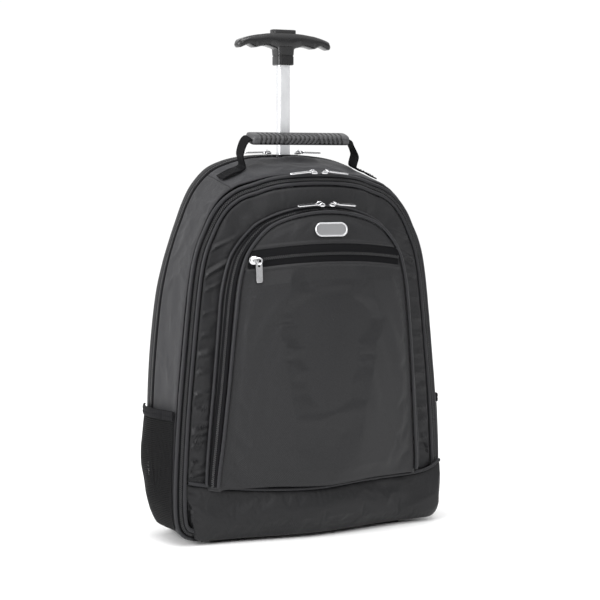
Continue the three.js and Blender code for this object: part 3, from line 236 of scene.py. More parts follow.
def pocketY(x, z, rise=1.0):
    across = np.maximum(0, 1 - (2 * x / pocket["faceWidth"]) ** 2)
    reach = np.where(z > pocketMiddle, pocket["faceTop"] - pocketMiddle, pocketMiddle - boot["seamMiddle"])
    up = np.maximum(0, 1 - ((z - pocketMiddle) / reach) ** 2)
    return panelY(x, z) - pocket["seat"] - pocket["depth"] * rise - pocket["dome"] * across * up


def riseAt(t):
    place = np.mod(t, 1.0) * len(pocketRise)
    i = np.floor(place).astype(int)
    return mix(pocketRise[i % len(pocketRise)], pocketRise[(i + 1) % len(pocketRise)], place - i)


def faceZipZ(x):
    return pocket["zipEnds"] + pocket["zipRise"] * (1 - (x / pocket["zipHalf"]) ** 2)


# Meshes. A form is its points, its four-sided faces and its three-sided faces.

def form(points, quads, tris=()):
    return (
        np.asarray(points, float).reshape(-1, 3),
        np.asarray(quads, int).reshape(-1, 4),
        np.asarray(tris, int).reshape(-1, 3),
    )


def joined(forms):
    starts = np.cumsum([0] + [len(f[0]) for f in forms[:-1]])
    return tuple(np.concatenate([f[k] + (0 if k == 0 else s) for f, s in zip(forms, starts)])
                 for k in range(3))


def gridQuads(rows, columns, wrapRows=False, wrapColumns=False):
    i, j = np.meshgrid(np.arange(rows if wrapRows else rows - 1),
                       np.arange(columns if wrapColumns else columns - 1), indexing="ij")
    n, m = (i + 1) % rows, (j + 1) % columns
    return np.stack([i * columns + j, n * columns + j, n * columns + m, i * columns + m], -1).reshape(-1, 4)


def outwards(made):  # turns a closed form's faces round if they face inwards
    points, quads, tris = made
    corners = np.concatenate([quads[:, [0, 1, 2]], quads[:, [0, 2, 3]], tris])
    a, b, c = (points[corners[:, k]] for k in range(3))
    if np.einsum("ij,ij->i", a - points.mean(0), np.cross(b - a, c - a)).sum() < 0:
        return points, quads[:, ::-1], tris[:, ::-1]
    return made


def grid(points, wrapColumns=False):
    rows, columns = points.shape[:2]
    return form(points, gridQuads(rows, columns, False, wrapColumns))


def loft(loops, round=False):  # closed sections in a row, with a fan over each end, or in a ring
    loops = np.asarray(loops, float)
    rows, columns = loops.shape[:2]
    quads = gridQuads(rows, columns, round, True)
    if round:
        return outwards(form(loops, quads))
    j = np.arange(columns)
    k = (j + 1) % columns
    last = (rows - 1) * columns
    hubs = rows * columns
    tris = np.concatenate([
        np.stack([j, k, np.full(columns, hubs)], -1),
        np.stack([last + k, last + j, np.full(columns, hubs + 1)], -1),
    ])
    points = np.concatenate([loops.reshape(-1, 3), loops[[0, -1]].mean(1)])
    return outwards(form(points, quads, tris))


def sweep(middle, a, b, section, round=False):  # a flat section carried along a path
    section = np.asarray(section, float)
    if section.ndim == 2:
        section = section[None]
    loops = middle[:, None] + a[:, None] * section[..., 0:1] + b[:, None] * section[..., 1:2]
    return loft(loops, round)


def circle(radius, sides=12):
    angle = np.arange(sides) / sides * 2 * np.pi
    return np.stack([np.cos(angle), np.sin(angle)], -1) * radius


def repeated(unitForm, middles, axes, sizes=None):  # copies of a small form at many places
    points, quads, tris = unitForm
    count, each = len(middles), len(points)
    turned = np.einsum("pk,nkd->npd", points, axes)
    placed = (turned if sizes is None else turned * sizes[:, None, None]) + middles[:, None]
    steps = np.arange(count)[:, None, None] * each
    return placed.reshape(-1, 3), (quads[None] + steps).reshape(-1, 4), (tris[None] + steps).reshape(-1, 3)


def roundedLoops(length, width, heights, insets, sides=40):  # stadium sections one above the other
    angle = (np.arange(sides) + 0.5) / sides * 2 * np.pi
    loops = []
    for height, inset in zip(heights, insets):
        r = width / 2 - inset
        x = np.cos(angle) * r + np.sign(np.cos(angle)) * (length - width) / 2
        loops.append(np.stack([x, np.sin(angle) * r, np.full(sides, float(height))], -1))
    return np.stack(loops)


def blockForm(x, y, z, bevel=0.25):  # a box with cut edges, around the origin
    loops = []
    for height, inset in ((-z / 2, bevel), (-z / 2 + bevel, 0), (z / 2 - bevel, 0), (z / 2, bevel)):
        a, b = x / 2 - inset, y / 2 - inset
        c = min(a, b) * 0.25
        loops.append([(a, -b + c, height), (a, b - c, height), (a - c, b, height), (-a + c, b, height),
                      (-a, b - c, height), (-a, -b + c, height), (-a + c, -b, height), (a - c, -b, height)])
    return loft(loops)


def ringForm(radius, wire, sides=20):  # a ring lying flat
    angle = np.arange(sides) / sides * 2 * np.pi
    out = np.stack([np.cos(angle), np.sin(angle), np.zeros(sides)], -1)
    return sweep(out * radius, out, np.tile((0.0, 0, 1), (sides, 1)), circle(wire, 8), round=True)


def moved(made, matrix):  # matrix rows: x, y and z directions and the origin
    points, quads, tris = made
    matrix = np.asarray(matrix, float)
    return outwards((points @ matrix[:3] + matrix[3], quads, tris))


def toFrame(points):
    return points * mm + (0, shiftY, 0)


def makeObject(name, made, sharp=40):
    points, quads, tris = made
    mesh = bpy.data.meshes.new(name)
    corners = np.concatenate([quads.ravel(), tris.ravel()]).astype(np.int32)
    starts = np.concatenate([np.arange(len(quads)) * 4, len(quads) * 4 + np.arange(len(tris)) * 3])
    mesh.vertices.add(len(points))
    mesh.vertices.foreach_set("co", toFrame(points).astype(np.float32).ravel())
    mesh.loops.add(len(corners))
    mesh.loops.foreach_set("vertex_index", corners)
    mesh.polygons.add(len(starts))
    mesh.polygons.foreach_set("loop_start", starts.astype(np.int32))
    mesh.update(calc_edges=True)
    mesh.polygons.foreach_set("use_smooth", np.ones(len(starts), bool))
    mesh.set_sharp_from_angle(angle=math.radians(sharp))
    obj = bpy.data.objects.new(name, mesh)
    bpy.context.scene.collection.objects.link(obj)
    return obj


def addInlayAndSunkShade(obj, values):  # a share from 0 to 1 at each point, read by the piece's finish as painted shade in grooves and sunk faces, and on the grip also as its darker rubber
    inlayAndSunkShade = obj.data.attributes.new("inlayAndSunkShade", "FLOAT", "POINT")
    inlayAndSunkShade.data.foreach_set("value", np.asarray(values, np.float32).ravel())


def piece(name, made, material, body, slot, replaces=(), sharp=40, thickness=None):
    points, quads, tris = made
    if thickness:  # an open sheet: its faces are turned away from the pack's middle
        a, b, c, _ = (points[quads[:, k]] for k in range(4))
        away = a - packMiddle
        if np.einsum("ij,ij->i", away, np.cross(b - a, c - a)).sum() < 0:
            quads, tris = quads[:, ::-1], tris[:, ::-1]
    obj = makeObject(name, (points, quads, tris), sharp)
    obj.data.materials.append(material)
    if thickness:
        solid = obj.modifiers.new("thickness", "SOLIDIFY")
        solid.thickness = thickness * mm
        solid.offset = -1
    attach(obj, body)
    if replaces:
        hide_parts(*replaces)
    return obj


# Cloth: a sheet with a fixed edge that is a little larger than its place, so that it folds as it fills.

clothRun = {"frames": 22, "stiffness": 18, "bending": 0.6, "mass": 0.15}


def settled(points, fixed, growth, pressure, cap):
    rows, columns = points.shape[:2]
    obj = makeObject("settling", grid(points))
    group = obj.vertex_groups.new(name="fixed")
    group.add(np.flatnonzero(fixed.ravel()).tolist(), 1.0, "REPLACE")
    cloth = obj.modifiers.new("cloth", "CLOTH")
    cloth.settings.vertex_group_mass = "fixed"
    cloth.settings.quality = 6
    cloth.settings.mass = clothRun["mass"]
    cloth.settings.tension_stiffness = clothRun["stiffness"]
    cloth.settings.compression_stiffness = clothRun["stiffness"]
    cloth.settings.shear_stiffness = clothRun["stiffness"] / 3
    cloth.settings.bending_stiffness = clothRun["bending"]
    cloth.settings.shrink_min = -growth
    cloth.settings.shrink_max = -growth
    cloth.settings.use_pressure = True
    cloth.settings.uniform_pressure_force = pressure
    cloth.settings.effector_weights.gravity = 0
    cloth.collision_settings.use_collision = False
    cloth.point_cache.frame_start = 1
    cloth.point_cache.frame_end = clothRun["frames"]
    for step in range(1, clothRun["frames"] + 1):
        bpy.context.scene.frame_set(step)
        bpy.context.view_layer.update()
    graph = bpy.context.evaluated_depsgraph_get()
    shaped = obj.evaluated_get(graph).to_mesh()
    flat = np.empty(rows * columns * 3, np.float32)
    shaped.vertices.foreach_get("co", flat)
    result = (flat.reshape(rows, columns, 3).astype(float) - (0, shiftY, 0)) / mm
    bpy.data.objects.remove(obj)
    bpy.context.scene.frame_set(1)
    change = result - points
    length = np.linalg.norm(change, axis=-1, keepdims=True)
    change *= np.minimum(1, cap / np.maximum(length, 1e-6))
    print("cloth settled, most moved", round(float(length.max()), 2), "mm")
    return points + np.where(fixed[..., None], 0, change)


def fieldAt(field, low, cell, x, z):  # a field over a flat grid, read between its points
    u = np.clip((x - low[0]) / cell, 0, field.shape[0] - 1.001)
    w = np.clip((z - low[1]) / cell, 0, field.shape[1] - 1.001)
    i, j = u.astype(int), w.astype(int)
    a, b = (u - i)[..., None], (w - j)[..., None]
    return mix(mix(field[i, j], field[i + 1, j], a), mix(field[i, j + 1], field[i + 1, j + 1], a), b)


# Finishes

def linear(text):  # sRGB hex to linear
    part = np.array([int(text[k:k + 2], 16) for k in (1, 3, 5)]) / 255
    return tuple(np.where(part <= 0.04045, part / 12.92, ((part + 0.055) / 1.055) ** 2.4)) + (1.0,)


def addNode(tree, kind, inputs=(), **settings):
    node = tree.nodes.new("ShaderNode" + kind)
    for name, value in settings.items():
        setattr(node, name, value)
    for key, value in dict(inputs).items():
        if isinstance(value, bpy.types.NodeSocket):
            tree.links.new(value, node.inputs[key])
        else:
            node.inputs[key].default_value = value
    return node


def addRelief(tree, shader, height, strength, distance):
    relief = addNode(tree, "Bump", {"Height": height, "Strength": strength, "Distance": distance})
    tree.links.new(relief.outputs["Normal"], shader.inputs["Normal"])


def addTint(tree, shader, factor, first, second, stop=1.0):
    tint = addNode(tree, "ValToRGB", {"Fac": factor})
    tint.color_ramp.elements[0].color = linear(first)
    tint.color_ramp.elements[1].position = stop
    tint.color_ramp.elements[1].color = linear(second)
    tree.links.new(tint.outputs["Color"], shader.inputs["Base Color"])


def wavesPer(period):  # wave texture's scale: bands along x+y+z with this many metres between them
    return 2 * math.pi / (period * math.sqrt(2) * 10)


def newMaterial(name, hexColor, roughness, **sockets):
    material = bpy.data.materials.new(name)
    material.use_nodes = True
    tree = material.node_tree
    tree.nodes.clear()
    shader = addNode(tree, "BsdfPrincipled", {"Base Color": linear(hexColor), "Roughness": roughness})
    for key, value in sockets.items():
        shader.inputs[key.replace("_", " ")].default_value = value
    out = addNode(tree, "OutputMaterial")
    tree.links.new(shader.outputs["BSDF"], out.inputs["Surface"])
    place = addNode(tree, "TexCoord").outputs["Object"]
    return material, tree, shader, place


def wovenCloth(name, dark, pale, roughness, weave=0.0012, depth=0.3, fuzz=0.03, shine=0.25):
    # Twill, brightness = ribs times threads: fine slanted ribs crossed by threads, so that folds shine softly
    material, tree, shader, place = newMaterial(name, dark, roughness, Sheen_Weight=fuzz, Sheen_Roughness=0.5,
                                                Specular_IOR_Level=shine)
    ribs = addNode(tree, "TexWave", {"Vector": place, "Scale": wavesPer(weave), "Distortion": 0.6,
                                     "Detail": 1.0, "Detail Scale": 2.0}, bands_direction="DIAGONAL")
    threads = addNode(tree, "TexNoise", {"Vector": place, "Scale": 1 / (1.3 * weave), "Detail": 2.0})
    both = addNode(tree, "Math", {0: ribs.outputs["Fac"], 1: threads.outputs["Fac"]}, operation="MULTIPLY")
    addTint(tree, shader, both.outputs[0], dark, pale, 0.55)
    addRelief(tree, shader, both.outputs[0], depth, 0.0003)
    return material


def ribbedCloth(name, dark, pale, period, roughness=0.6, depth=0.5, direction="Z"):
    # Ribs in one direction with thread noise between them: webbing, tape and elastic catch light in lines
    material, tree, shader, place = newMaterial(name, dark, roughness, Specular_IOR_Level=0.04)
    scale = 2 * math.pi / (period * 10)
    ribs = addNode(tree, "TexWave", {"Vector": place, "Scale": scale, "Distortion": 0.4, "Detail": 1.0},
                   bands_direction=direction)
    threads = addNode(tree, "TexNoise", {"Vector": place, "Scale": 1.2 / period, "Detail": 2.0})
    both = addNode(tree, "Math", {0: ribs.outputs["Fac"], 1: threads.outputs["Fac"]}, operation="MULTIPLY")
    addTint(tree, shader, both.outputs[0], dark, pale, 0.7)
    addRelief(tree, shader, both.outputs[0], depth, 0.0003)
    return material


def grainy(name, color, roughness, grain, depth, metallic=0.0, spread=0.1, stretch=(1, 1, 1)):
    # Moulded or drawn surface: fine grain bends the highlight, and the gloss varies a little from spot to spot
    material, tree, shader, place = newMaterial(name, color, roughness, Metallic=metallic)
    mapped = addNode(tree, "Mapping", {"Vector": place, "Scale": stretch})
    noise = addNode(tree, "TexNoise", {"Vector": mapped.outputs["Vector"], "Scale": 1 / grain, "Detail": 4.0})
    addRelief(tree, shader, noise.outputs["Fac"], depth, 0.0002)
    wide = addNode(tree, "TexNoise", {"Vector": place, "Scale": 40.0, "Detail": 2.0})
    gloss = addNode(tree, "MapRange", {"Value": wide.outputs["Fac"], "From Min": 0.3, "From Max": 0.7,
                                       "To Min": roughness - spread / 2, "To Max": roughness + spread / 2})
    tree.links.new(gloss.outputs["Result"], shader.inputs["Roughness"])
    return material


def inlayAndShadePlastic(name, color, deep, roughness, grain, depth, metallic=0.0):
    # Colour = plain colour mixed to the deep one by a share stored on the piece: grooves and sunk faces get
    # painted shade, and on the grip the deep colour is also the darker rubber under the ribs
    material = grainy(name, color, roughness, grain, depth, metallic, spread=0.06)
    tree = material.node_tree
    inlayAndSunkShade = addNode(tree, "Attribute", attribute_name="inlayAndSunkShade")
    shader = next(node for node in tree.nodes if node.type == "BSDF_PRINCIPLED")
    addTint(tree, shader, inlayAndSunkShade.outputs["Fac"], color, deep)
    return material


finish = {
    # Front, side, top and boot are one twill in lit and shaded copies, which is painted light: side and top
    # painted lighter, front and boot painted darker
    "front": wovenCloth("polyesterTwillFrontPaintedShade", "#161617", "#29292b", 0.46),
    "side": wovenCloth("polyesterTwillSidePaintedLight", "#1f1f21", "#353537", 0.6, shine=0.2),
    "top": wovenCloth("polyesterTwillTopPaintedLight", "#232325", "#3b3b3e", 0.6, shine=0.18),
    "boot": wovenCloth("polyesterTwillBootPaintedShade", "#121213", "#232325", 0.48),
    "base": wovenCloth("coatedBaseCloth", "#131314", "#222224", 0.55),
    "piping": wovenCloth("foldedPipingCloth", "#18181a", "#2c2c2f", 0.42, weave=0.0011, depth=0.15),
    "tape": ribbedCloth("wovenZipTape", "#0e0e0f", "#1b1b1d", 0.0009, 0.55, 0.3, "DIAGONAL"),
    "coil": grainy("nylonZipCoil", "#1b1b1d", 0.32, 0.002, 0.1),
    "webbing": ribbedCloth("polyesterWebbing", "#0b0b0c", "#1b1b1d", 0.0012, 0.6, 0.5, "X"),
    "elastic": ribbedCloth("knittedElastic", "#121213", "#262628", 0.0016, 0.6, 0.6, "Z"),
    "net": wovenCloth("knittedNet", "#080809", "#121213", 0.7, shine=0.1, weave=0.0012, depth=0.2),
    "air": wovenCloth("spacerMeshCloth", "#161617", "#262628", 0.8, weave=0.0026, depth=0.6),
    # Grip and label: the deep colour is painted shade in grooves and sunk faces, and on the grip also its darker
    # rubber
    "grip": inlayAndShadePlastic("mouldedGripRubber", "#3c3c3e", "#020202", 0.4, 0.0009, 0.1),
    "skid": grainy("mouldedSkidRubber", "#161617", 0.65, 0.001, 0.2),
    "tyre": grainy("tyreRubber", "#151516", 0.75, 0.0012, 0.25),
    "plastic": grainy("mouldedBlackPlastic", "#171718", 0.26, 0.0007, 0.06),
    "aluminium": grainy("satinAluminium", "#e9eaec", 0.42, 0.0012, 0.1, metallic=1.0, stretch=(8, 8, 0.4)),
    "steel": grainy("brightSteel", "#b9babc", 0.3, 0.001, 0.08, metallic=1.0),
    "nickel": grainy("platedZinc", "#cfcfd1", 0.24, 0.002, 0.06, metallic=1.0),
    "label": inlayAndShadePlastic("brushedLabelPlate", "#e2e2e4", "#adadaf", 0.4, 0.0008, 0.15, metallic=1.0),
    "thread": ribbedCloth("sewingThread", "#1c1c1e", "#38383b", 0.001, 0.5, 0.3, "X"),
}


# Camera, light and floor

def addLight(name, place, aim, size, power):
    lamp = bpy.data.lights.new(name, "AREA")
    lamp.shape = "RECTANGLE"
    lamp.size, lamp.size_y = size
    lamp.energy = power
    obj = bpy.data.objects.new(name, lamp)
    obj.location = place
    way = np.array(aim) - np.array(place)
    flat = math.hypot(way[0], way[1])
    obj.rotation_euler = Euler((math.atan2(flat, -way[2]), 0, math.atan2(-way[0], way[1])))
    bpy.context.scene.collection.objects.link(obj)


def addStage():
    view = bpy.data.cameras.new("camera")
    view.lens = camera["lens"]
    view.sensor_width = 36
    view.shift_y = camera["shift"]
    view.clip_end = 50
    obj = bpy.data.objects.new("camera", view)
    obj.location = camera["place"]
    obj.rotation_euler = Euler((math.radians(90 - camera["down"]), 0, -math.radians(camera["turn"])))
    bpy.context.scene.collection.objects.link(obj)
    bpy.context.scene.camera = obj

    line = np.array([-6.0, 0, 6.0]) / mm
    x, y = np.meshgrid(line, line, indexing="ij")
    floor = makeObject("floor", form(np.stack([x, y, np.zeros_like(x)], -1), gridQuads(3, 3)))
    material, tree, shader, place = newMaterial("pearlPaper", "#fbfbfb", 0.9)
    fine = addNode(tree, "TexNoise", {"Vector": place, "Scale": 300.0})
    addRelief(tree, shader, fine.outputs["Fac"], 0.02, 0.0005)
    floor.data.materials.append(material)

    world = bpy.data.worlds.new("studio")
    bpy.context.scene.world = world
    world.use_nodes = True
    # A white wall behind the pack, white below the horizon, a bright ceiling and a dimmer room before
    # the pack: brightness = the largest of a ramp along the way's Y and two ramps along its Z
    tree = world.node_tree
    way = addNode(tree, "SeparateXYZ", {"Vector": addNode(tree, "TexCoord").outputs["Generated"]})
    wall = addNode(tree, "MapRange", {"Value": way.outputs["Y"], "From Min": -0.3, "From Max": 0.4,
                                      "To Min": light["room"], "To Max": light["wall"]})
    below = addNode(tree, "MapRange", {"Value": way.outputs["Z"], "From Min": -0.02, "From Max": 0.02,
                                       "To Min": light["wall"], "To Max": light["room"]})
    ceiling = addNode(tree, "MapRange", {"Value": way.outputs["Z"], "From Min": 0.3, "From Max": 0.6,
                                         "To Min": light["room"], "To Max": light["ceiling"]})
    glow = addNode(tree, "Math", {0: wall.outputs["Result"], 1: below.outputs["Result"]}, operation="MAXIMUM")
    glow = addNode(tree, "Math", {0: glow.outputs[0], 1: ceiling.outputs["Result"]}, operation="MAXIMUM")
    back = tree.nodes["Background"]
    back.inputs["Color"].default_value = (1, 1, 1, 1)
    tree.links.new(glow.outputs[0], back.inputs["Strength"])
    bpy.context.scene.view_settings.view_transform = "Standard"
    addLight("sideWindow", (-2.2, -0.35, 1.0), (0, 0, 0.25), (1.1, 1.3), light["side"])
    addLight("keyWindow", (-0.4, -2.3, 1.5), (0, 0, 0.3), (1.0, 1.0), light["key"])
    addLight("topWindow", (-0.2, -0.62, 2.1), (0, 0, 0.3), (1.1, 0.8), light["top"])
    print("camera, light and floor made")


# Panels of cloth

bezelHole = {"halfX": 15.7, "front": 77.8, "back": 104.2, "low": 414}
wellHole = {"inner": 118.7, "outer": 151.3, "front": 71.2, "top": 61.3}


def clearOfBezel(points):  # moves what is in the handle's hole to the hole's edge
    x, y, z = np.moveaxis(points, -1, 0)
    inside = (np.abs(x) < bezelHole["halfX"]) & (z > bezelHole["low"])
    front = inside & (y > bezelHole["front"]) & (y < poleY)
    back = inside & (y >= poleY) & (y < bezelHole["back"])
    y = np.where(front, bezelHole["front"], np.where(back, bezelHole["back"], y))
    return np.stack([x, y, z], -1)


def outNormal(points):  # outward directions of a grid, away from the pack's middle
    n = unit(np.cross(np.gradient(points, axis=0), np.gradient(points, axis=1)))
    return n * np.sign(np.einsum("ijk,ijk->", n, points - packMiddle))


bandCloth = {"sink": 1.1, "sinkWidth": 5, "wrinkle": 0.7, "growth": 0.002, "pressure": 0.5, "cap": 2.2}


def bandPiece(name, node, first, last, finishName, slot, rows, columns, back):
    t = np.linspace(first, last, rows)[:, None]
    front = seamY(alongRing(frontRing, t[:, 0])[0][:, 0])[:, None] + pack["zipSetback"] + 0.3
    w = np.linspace(0, 1, columns)[None]
    y = mix(front, back, w)
    points = skin(t, y, 0.0)
    fixed = np.zeros(points.shape[:2], bool)
    fixed[:2] = fixed[-2:] = fixed[:, :2] = fixed[:, -2:] = True
    points = settled(points, fixed, bandCloth["growth"], bandCloth["pressure"], bandCloth["cap"])
    # The cloth turns in along its seams: depth falls with the square of the nearness to an edge
    across = np.minimum(y - front, back - y)
    speed = np.linalg.norm(np.gradient(points, axis=0), axis=-1)
    run = np.cumsum(speed, axis=0)
    length = np.minimum(run, run[-1:] - run)
    near = np.minimum(across, length)
    sink = bandCloth["sink"] * (1 - share(near, 0, bandCloth["sinkWidth"])) ** 2
    ripple = bandCloth["wrinkle"] * smoothNoise(points, 34, 3) * share(near, 0, 12) * 0.5
    points = points + outNormal(points) * (ripple - sink)[..., None]
    if node == "top_panel":
        x, y = points[..., 0], points[..., 1]
        points[..., 2] += 6.2 * bump(x, 2, 46) * bump(y, 61, 19)  # the cloth bunches up before the handle
        points = clearOfBezel(points)
    return piece(name, grid(points), finish[finishName], "bag", slot, [node], thickness=pack["wall"])


def addBandPanels():
    corner, shoulder = pack["cornerRow"] / ringCount, pack["shoulderRow"] / ringCount
    back = pack["rearFront"] - 0.3
    panels = (
        ("sidePanelRight", "side_panel_right", corner, shoulder, "side", "side_cloth", 190),
        ("sidePanelLeft", "side_panel_left", 1 - shoulder, 1 - corner, "side", "side_cloth", 190),
        ("topPanel", "top_panel", shoulder, 1 - shoulder, "top", "front_and_top_cloth", 121),
    )
    for obj in [bandPiece(*panel, 42, back) for panel in panels]:
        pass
    print("side and top panels made")


def addBase():
    half = pack["cornerRow"] / ringCount
    t = np.linspace(-half, half, 161)[:, None]
    y = np.linspace(seamY(0) + 8.3, 95.7, 40)[None]
    points = skin(t, y, 0.0)
    x, depth = points[..., 0], points[..., 1]
    front = seamY(x) + 8.3
    points[..., 1] = np.maximum(depth, front)
    room = (np.abs(x) > wellHole["inner"]) & (np.abs(x) < wellHole["outer"])
    points[..., 1] = np.where(room, np.minimum(points[..., 1], wellHole["front"]), points[..., 1])
    piece("basePanel", grid(points), finish["base"], "bag", "base_cloth", ["base_panel"],
          thickness=pack["wall"])
    print("base made")


backPanel = {"channelDepth": 2.6, "channelWidth": 9}


def addBackShell():
    t = np.linspace(0, 1, 281)[:-1][:, None]
    depth = np.array([96.3, 100, 104, 108, 110, 112, 114, 115.5, 116.7, 117.4, 117.85, 118.0])
    inset = np.array([0, 0.1, 0.25, 0.5, 0.8, 2.1, 3.9, 5.9, 8.6, 11.2, 14, 17.0])
    middle = np.array([0, 118.0, (pack["ground"] + pack["backTop"]) / 2])
    near = np.minimum(inset, 2.1)  # a deeper inset is taken towards the middle, so that no two rays cross
    points = skin(t, depth[None], near[None])
    ray = (points - middle) * (1, 0, 1)
    points = points - ray * ((inset - near)[None] / np.linalg.norm(ray, axis=-1))[..., None]
    rim = points[:, -1]
    s = np.linspace(1, 0.012, 60)[1:][None, :, None]
    disc = mix(middle, rim[:, None], s)
    points = np.concatenate([points, disc], 1)
    x, y, z = np.moveaxis(points, -1, 0)
    # Foam ribs stand between sewn channels: two upright channels and one across
    flat = share(y, 115, 118)
    channel = bump(np.abs(x), 62, backPanel["channelWidth"]) + bump(z, 300, backPanel["channelWidth"])
    inside = share(np.linalg.norm((points - middle)[..., ::2] / (176, 226), axis=-1), 0.97, 0.8)
    points[..., 1] = y - flat * inside * backPanel["channelDepth"] * np.clip(channel, 0, 1)
    points = clearOfBezel(points)
    x, y, z = np.moveaxis(points, -1, 0)
    room = (np.abs(x) > wellHole["inner"]) & (np.abs(x) < wellHole["outer"]) & (z < wellHole["top"])
    sides = np.stack([np.abs(x) - wellHole["inner"], wellHole["outer"] - np.abs(x), wellHole["top"] - z])
    nearest = sides.argmin(0)
    moveX = np.where(nearest == 0, wellHole["inner"], wellHole["outer"]) * np.sign(x)
    points[..., 0] = np.where(room & (nearest < 2), moveX, x)
    points[..., 2] = np.where(room & (nearest == 2), wellHole["top"], z)
    points, quads, tris = grid(points.transpose(1, 0, 2), wrapColumns=True)
    inRoom = room.T.ravel()
    kept = quads[~inRoom[quads].all(1)]
    ringSize = t.shape[0]
    last = len(points) - ringSize
    j = np.arange(ringSize)
    tris = np.stack([last + j, last + (j + 1) % ringSize, np.full(ringSize, len(points))], -1)
    points = np.concatenate([points, points[last:].mean(0)[None]])
    obj = piece("backPanel", form(points, kept, tris[:, ::-1]), finish["air"], "bag", "front_and_top_cloth",
                ["back_shell"], thickness=pack["wall"])
    print("back panel made")


# Zips: a tape on each side of a chain of moulded teeth

tooth = {"pitch": 2.6, "length": 2.0, "width": 1.5, "height": 1.1, "apart": 0.85}


def evenly(path, spacing):  # places at even steps along a dense path, as shares of its points
    run = np.concatenate([[0], np.cumsum(np.linalg.norm(np.diff(path, axis=0), axis=1))])
    count = max(2, int(run[-1] / spacing))
    return np.interp(np.linspace(0, run[-1], count), run, np.arange(len(path)))


def chain(path, out):  # two rows of teeth that mesh, along a path with its outward directions
    place = evenly(path, tooth["pitch"] / 2)
    i = np.clip(place.astype(int), 0, len(path) - 2)
    w = (place - i)[:, None]
    middle = mix(path[i], path[i + 1], w)
    along = unit(path[i + 1] - path[i])
    normal = unit(mix(out[i], out[i + 1], w))
    side = unit(np.cross(normal, along))
    swap = np.where(np.arange(len(place)) % 2, 1.0, -1.0)[:, None]
    middle = middle + side * swap * tooth["apart"]
    axes = np.stack([side, along, normal], 1)
    return repeated(blockForm(tooth["length"], tooth["width"], tooth["height"], 0.3), middle, axes)


def seamRing(count, row=1.6):  # places along the front seam from one lower corner over the top to the other
    t = np.linspace(row / ringCount, 1 - row / ringCount, count)
    edge = skin(t, 0.0, 0.0)
    _, way = alongRing(frontRing, t)
    out = np.stack([way[:, 1], np.zeros(count), -way[:, 0]], -1)
    under = share(pack["cornerRow"] - np.minimum(t, 1 - t) * ringCount, 0, pack["cornerRow"] - row)
    return edge, out, seamY(edge[:, 0]) + pack["tuckedBack"] * under ** 0.8  # it passes back under the boot


def placeAt(ring, inset, setback):
    edge, out, seam = ring
    inset, setback = np.broadcast_arrays(np.asarray(inset, float), np.asarray(setback, float))
    depth = np.stack([np.zeros(len(edge)), seam + setback, np.zeros(len(edge))], -1)
    return edge * (1, 0, 1) - out * inset[..., None] + depth


def pipingForm(middle, a, b, radius, wobble, seed):
    swell = 1 + wobble * smoothNoise(middle, 22, seed)
    section = circle(radius)[None] * swell[:, None, None]
    return sweep(middle, a, b, section)


def addMainZip():
    ring = seamRing(700)
    out = ring[1]
    ahead = np.tile((0.0, -1, 0), (len(out), 1))
    r = pack["pipingRadius"]
    outer = pipingForm(placeAt(ring, r, pack["zipSetback"] - r), out, ahead, r, wobble=0.035, seed=2)
    inner = pipingForm(placeAt(ring, pack["zipInset"] - r - 0.3, 0.6), out, ahead, r, wobble=0.05, seed=3)
    piece("mainPipingOuter", outer, finish["piping"], "bag", "piping_cloth", ["main_piping_outer"])
    piece("mainPipingInner", inner, finish["piping"], "bag", "piping_cloth", ["main_piping_inner"])
    low, high = 2 * r - 0.5, pack["zipInset"] - 2 * r + 0.1
    middle = (low + high) / 2
    # Section across the tape: (inset, setback), with a shallow groove on each side of the chain
    front = [(low, 4.2), (low + 1.2, 2.7), (middle - 1.9, 1.9), (middle - 1.5, 1.5), (middle, 1.35),
             (middle + 1.5, 1.35), (middle + 1.9, 1.5), (high - 0.8, 1.3), (high, 1.6)]
    section = np.array(front + [(a, b + 1.6) for a, b in front[::-1]])
    loops = np.stack([placeAt(ring, a, b) for a, b in section], 1)
    piece("mainZipTape", loft(loops), finish["tape"], "bag", "zip_tape", ["main_zip_tape"])
    path = placeAt(ring, middle, 1.0)
    outward = unit(out * 0.22 + ahead)
    piece("mainZipChain", chain(path, outward), finish["coil"], "bag", "zip_tape")
    print("main zip made")


def addRearZip():
    middle = (pack["rearFront"] + pack["rearBack"]) / 2
    for side, name in ((1, "Right"), (-1, "Left")):
        start = pack["cornerRow"] / ringCount
        reach = alongRing(frontRing, np.linspace(0.4, 0.5, 400))[0][:, 0]
        stop = np.linspace(0.4, 0.5, 400)[np.argmin(np.abs(reach - bezelHole["halfX"] - 0.4))]
        t = np.linspace(start, stop, 420)
        t = t if side > 0 else 1 - t
        rows = [(86.05, 0.6), (87.2, -0.3), (89.2, -0.5), (89.7, -0.2), (middle, -0.1), (92.3, -0.2),
                (92.8, -0.5), (94.8, -0.3), (95.95, 0.6), (95.9, 2.4), (86.1, 2.4)]
        loops = np.stack([skin(t, y, inset) for y, inset in rows], 1)
        piece("rearZipTape" + name, loft(loops), finish["tape"], "bag", "zip_tape",
              ["rear_zip_" + name.lower()])
        path, above = skin(t, middle, -0.35), skin(t, middle, -1.35)
        piece("rearZipChain" + name, chain(path, unit(above - path)), finish["coil"], "bag", "zip_tape")
    print("rear zip made")


# Front panel, boot and pocket

frontCloth = {"cell": 3.0, "growth": 0.005, "pressure": 0.3, "cap": 3.0, "pucker": 3.6}


def flatField(surface, inside, low, high, growth, pressure, cap):
    # The sheet is settled over a flat grid and kept still outside its outline; what is left is its change
    cell = frontCloth["cell"]
    x = np.arange(low[0], high[0] + cell, cell)
    z = np.arange(low[1], high[1] + cell, cell)
    gx, gz = np.meshgrid(x, z, indexing="ij")
    points = np.stack([gx, surface(gx, gz), gz], -1)
    change = settled(points, ~inside(gx, gz), growth, pressure, cap) - points

    def read(px, pz):
        return fieldAt(change, (x[0], z[0]), cell, px, pz)
    return read


